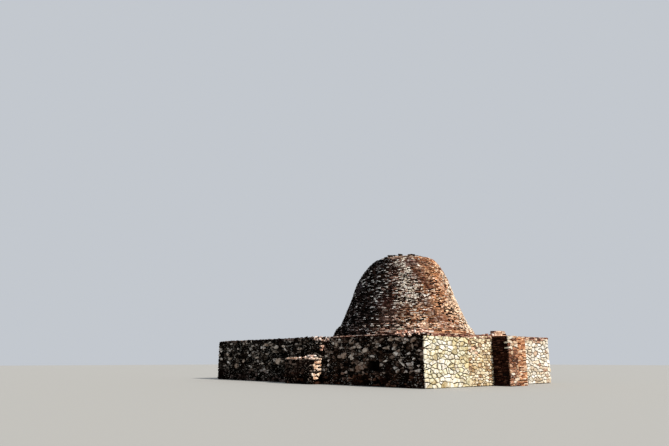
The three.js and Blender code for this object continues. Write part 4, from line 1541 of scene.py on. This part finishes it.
domeBricks = {
    "length": 0.21, "course": 0.080, "joint": 0.018, "depth": 0.17, "proud": 0.030, "wander": 0.026,
    "ledge": 0.004, "hollow": 0.08, "lean": 0.08, "chip": 0.036, "missing": 0.07, "seed": 101}
ringBricks = {
    "length": 0.22, "course": 0.078, "joint": 0.017, "depth": 0.18, "proud": 0.024, "wander": 0.024,
    "ledge": 0.002, "hollow": 0.05, "lean": 0.07, "chip": 0.034, "missing": 0.06, "seed": 201}
lowerRing = dict(ringBricks, seed=202)
upperRing = dict(ringBricks, seed=203, depth=0.3)
ringBreak = {"low": Vector((0.62, -5.45, 3.66)), "high": Vector((1.33, -4.6, 3.95))}
# Bricks that fell into the break: the first one's place, the step to the next, and every other one is higher
fallenBricks = dict(upperRing, lean=0.35, wander=0.02, missing=0.0, seed=204)
fallen = {"first": (0.80, -4.84, 3.70), "step": (0.13, 0.03, 0.05), "count": 4, "span": 0.22,
          "along": Vector((0.9, 0.3, 0)), "facing": Vector((0.3, -0.9, 0.3))}
crownBricks = dict(domeBricks, seed=104, depth=0.24, hollow=0.05, proud=0.026)
crownTop = dict(flatBrick(crownBricks), ledge=0.0, seed=106)
crownRings = {"in": 0.08, "least": 0.1, "seed": 105}  # radii of the rings of bricks on the crown's flat top


def domeAndRings():
    beds = roundCourses("dome", domeBricks)
    addPiece("dome_bricks", [brickMesh(beds, domeBricks, domeBrick)], "brick_dark")
    beds = roundCourses("ring_lower", lowerRing)
    addPiece("ring_lower_bricks", [brickMesh(beds, lowerRing, ringBrick)], "brick")

    def standing(place):
        return not all(a < value < b for value, a, b in zip(place, ringBreak["low"], ringBreak["high"]))

    (x, y, z), (stepX, stepY, stepZ) = fallen["first"], fallen["step"]
    lying = [(Vector((x + stepX * i, y + stepY * i, z + stepZ * (i % 2))), fallen["along"].normalized(),
              fallen["facing"].normalized(), fallen["span"]) for i in range(fallen["count"])]
    addPiece("ring_upper_bricks", [
        brickMesh(roundCourses("ring_upper", upperRing, standing), upperRing, ringBrick),
        brickMesh(lying, fallenBricks, ringBrick)], "brick")


def crown():
    beds = roundCourses("crown", crownBricks)
    top = levelsOf("crown")[-1]
    dice = random.Random(crownRings["seed"])
    roof = []
    radius = top[3] - crownRings["in"]
    while radius > crownRings["least"]:
        level = Vector((*top.xyz, radius))
        roof += [(place, along, up, span) for place, along, _, span in ringBeds(level, 0.0, crownTop, dice)]
        radius -= crownTop["course"]
    addPiece("crown_bricks", [brickMesh(beds, crownBricks, domeBrick), brickMesh(roof, crownTop, domeBrick)],
             "brick_dark")


domeAndRings()
crown()
print("stupa laid")


# Loose remains along the crown's crest, as the eye sees them from the front corner

remainsBricks = {
    "length": 0.24, "course": 0.085, "joint": 0.010, "depth": 0.22, "proud": 0.0, "wander": 0.01,
    "hollow": 0.0, "lean": 0.14, "chip": 0.04, "missing": 0.0, "seed": 601}
crestTurn = math.radians(50)  # the crest's direction, across the view
# For each heap: the node, how far it stands off the node's middle along the crest, its width and its top
heaps = [("crown_remains_left", 0.02, 0.36, 8.98), ("crown_remains_middle", -0.08, 0.32, 9.04),
         ("crown_remains_right", -0.02, 0.60, 9.01)]
heapCourses = 4
heapWidths = (0.8, 0.1)  # share of the width in the top course, and how much more in each one below
# Bricks that lie on the crown: along the crest, in front of its middle, top
crestBricks = [
    (-1.62, 1.72, 8.745), (0.22, 1.30, 9.00), (0.96, 1.42, 8.88), (-1.20, 1.40, 8.93), (-1.02, 1.36, 8.965),
    (-0.86, 1.32, 8.95), (-0.30, 1.34, 8.93), (0.62, 1.36, 8.93), (0.84, 1.42, 8.89), (-1.30, 1.10, 8.95),
    (0.10, 0.9, 8.98)]
lyingBricks = dict(remainsBricks, course=0.15, depth=0.09, lean=0.2, turn=0.5, spans=(0.2, 0.28), seed=606)


def crownRemains():
    along = levelWay(crestTurn)
    out = along.cross(up)
    for number, (node, shift, width, top) in enumerate(heaps):
        brick = dict(remainsBricks, seed=remainsBricks["seed"] + number)
        low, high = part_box(node)
        middle = (low + high) / 2 + along * shift
        count = max(1, round(width / brick["length"]))
        beds = []
        for i in range(heapCourses):
            for j in range(count):
                offset = ((j + 0.5) / count - 0.5) * width * (heapWidths[0] + heapWidths[1] * i)
                place = Vector((middle.x, middle.y, top - (i + 0.5) * brick["course"])) + along * offset
                beds.append((place + out * brick["depth"] / 2, along, out, width / count))
        addPiece(node + "_bricks", [brickMesh(beds, brick, crestBrick)], "brick_dark", node)


def looseOnCrown():
    along = levelWay(crestTurn)
    out = along.cross(up)
    dice = random.Random(remainsBricks["seed"])
    top = levelsOf("crown")[-1]
    beds = []
    for aside, forward, height in crestBricks:
        turn = crestTurn + dice.uniform(-lyingBricks["turn"], lyingBricks["turn"])
        place = Vector((top[0], top[1], height)) + along * aside + out * forward
        beds.append((place, levelWay(turn), up, dice.uniform(*lyingBricks["spans"])))
    addPiece("crown_loose_bricks", [brickMesh(beds, lyingBricks, crestBrick)], "brick_dark")


crownRemains()
looseOnCrown()
print("remains placed")


# Mortar and fill on the solids behind the masonry

behind = [
    (darkMortar, ["wall_front_right", "wall_front_left", "wall_left_end", "low_block", "landing_stone",
                  "terrace_fill"]),
    (paleMortar, ["wall_right_near"]),
    (brownMortar, ["wall_right_far", "wall_back"]),
    (redMortar, ["coping_front", "coping_right_near", "coping_right_middle", "coping_right_far",
                 "coping_back", "coping_left_end", "tier_front", "tier_right", "tier_stub", "landing_brick",
                 "low_block_course"]),
    (domeMortar, ["ring_lower", "ring_upper", "dome", "crown"]),
    (dustyEarth, ["paving_right", "paving_left"])]


def finishSolids():
    for finish, names in behind:
        for name in names:
            solid = cadNodes[name]
            solid.data.materials.clear()
            solid.data.materials.append(finish)


finishSolids()
print("solids finished")


# Floor, light and camera

stageLook = {
    "floor": colour(0.33, 0.325, 0.31), "floorReach": 160.0,
    "sky": colour(0.88, 0.93, 1.0), "skyStrength": 0.62,
    "sun": (1.0, 0.95, 0.87), "sunStrength": 5.4, "sunSpread": 3.0, "sunTurn": 8.0, "sunHeight": 38.0}


def buildFloor():
    paint, tree, shader = startFinish("floorPaint")
    shader.inputs["Base Color"].default_value = stageLook["floor"]
    shader.inputs["Roughness"].default_value = 0.9
    reach = stageLook["floorReach"]
    mesh = bpy.data.meshes.new("floor")
    mesh.from_pydata([(-reach, -reach, 0), (reach, -reach, 0), (reach, reach, 0), (-reach, reach, 0)], [],
                     [(0, 1, 2, 3)])
    mesh.materials.append(paint)
    floor = addToScene("floor", mesh)


def buildLight():
    world = bpy.data.worlds.new("studio")
    bpy.context.scene.world = world
    world.use_nodes = True
    background = world.node_tree.nodes["Background"]
    background.inputs["Color"].default_value = stageLook["sky"]
    background.inputs["Strength"].default_value = stageLook["skyStrength"]

    lamp = bpy.data.lights.new("key", "SUN")
    lamp.energy = stageLook["sunStrength"]
    lamp.angle = math.radians(stageLook["sunSpread"])
    lamp.color = stageLook["sun"]
    height = math.radians(stageLook["sunHeight"])
    towards = bearing(stageLook["sunTurn"]) * math.cos(height) + up * math.sin(height)
    addToScene("key", lamp).rotation_euler = towards.to_track_quat("Z", "Y").to_euler()


# Where the photograph was taken from: eye below the terrace top, looking up and along the near corner
view = {"place": (29.63, -31.45, 1.55), "heading": 50.0, "pitch": 13.29, "focalPixels": 580.0,
        "imageWidth": 669.0, "sensorWidth": 36.0, "farthest": 1000.0}


def buildCamera():
    data = bpy.data.cameras.new("camera")
    data.sensor_width = view["sensorWidth"]
    data.lens = data.sensor_width * view["focalPixels"] / view["imageWidth"]
    data.clip_end = view["farthest"]
    camera = addToScene("camera", data)
    camera.location = view["place"]
    camera.rotation_euler = (math.radians(90 + view["pitch"]), 0, math.radians(view["heading"]))
    bpy.context.scene.camera = camera
    bpy.context.scene.view_settings.view_transform = "Standard"


buildFloor()
buildLight()
buildCamera()
print("stage ready")
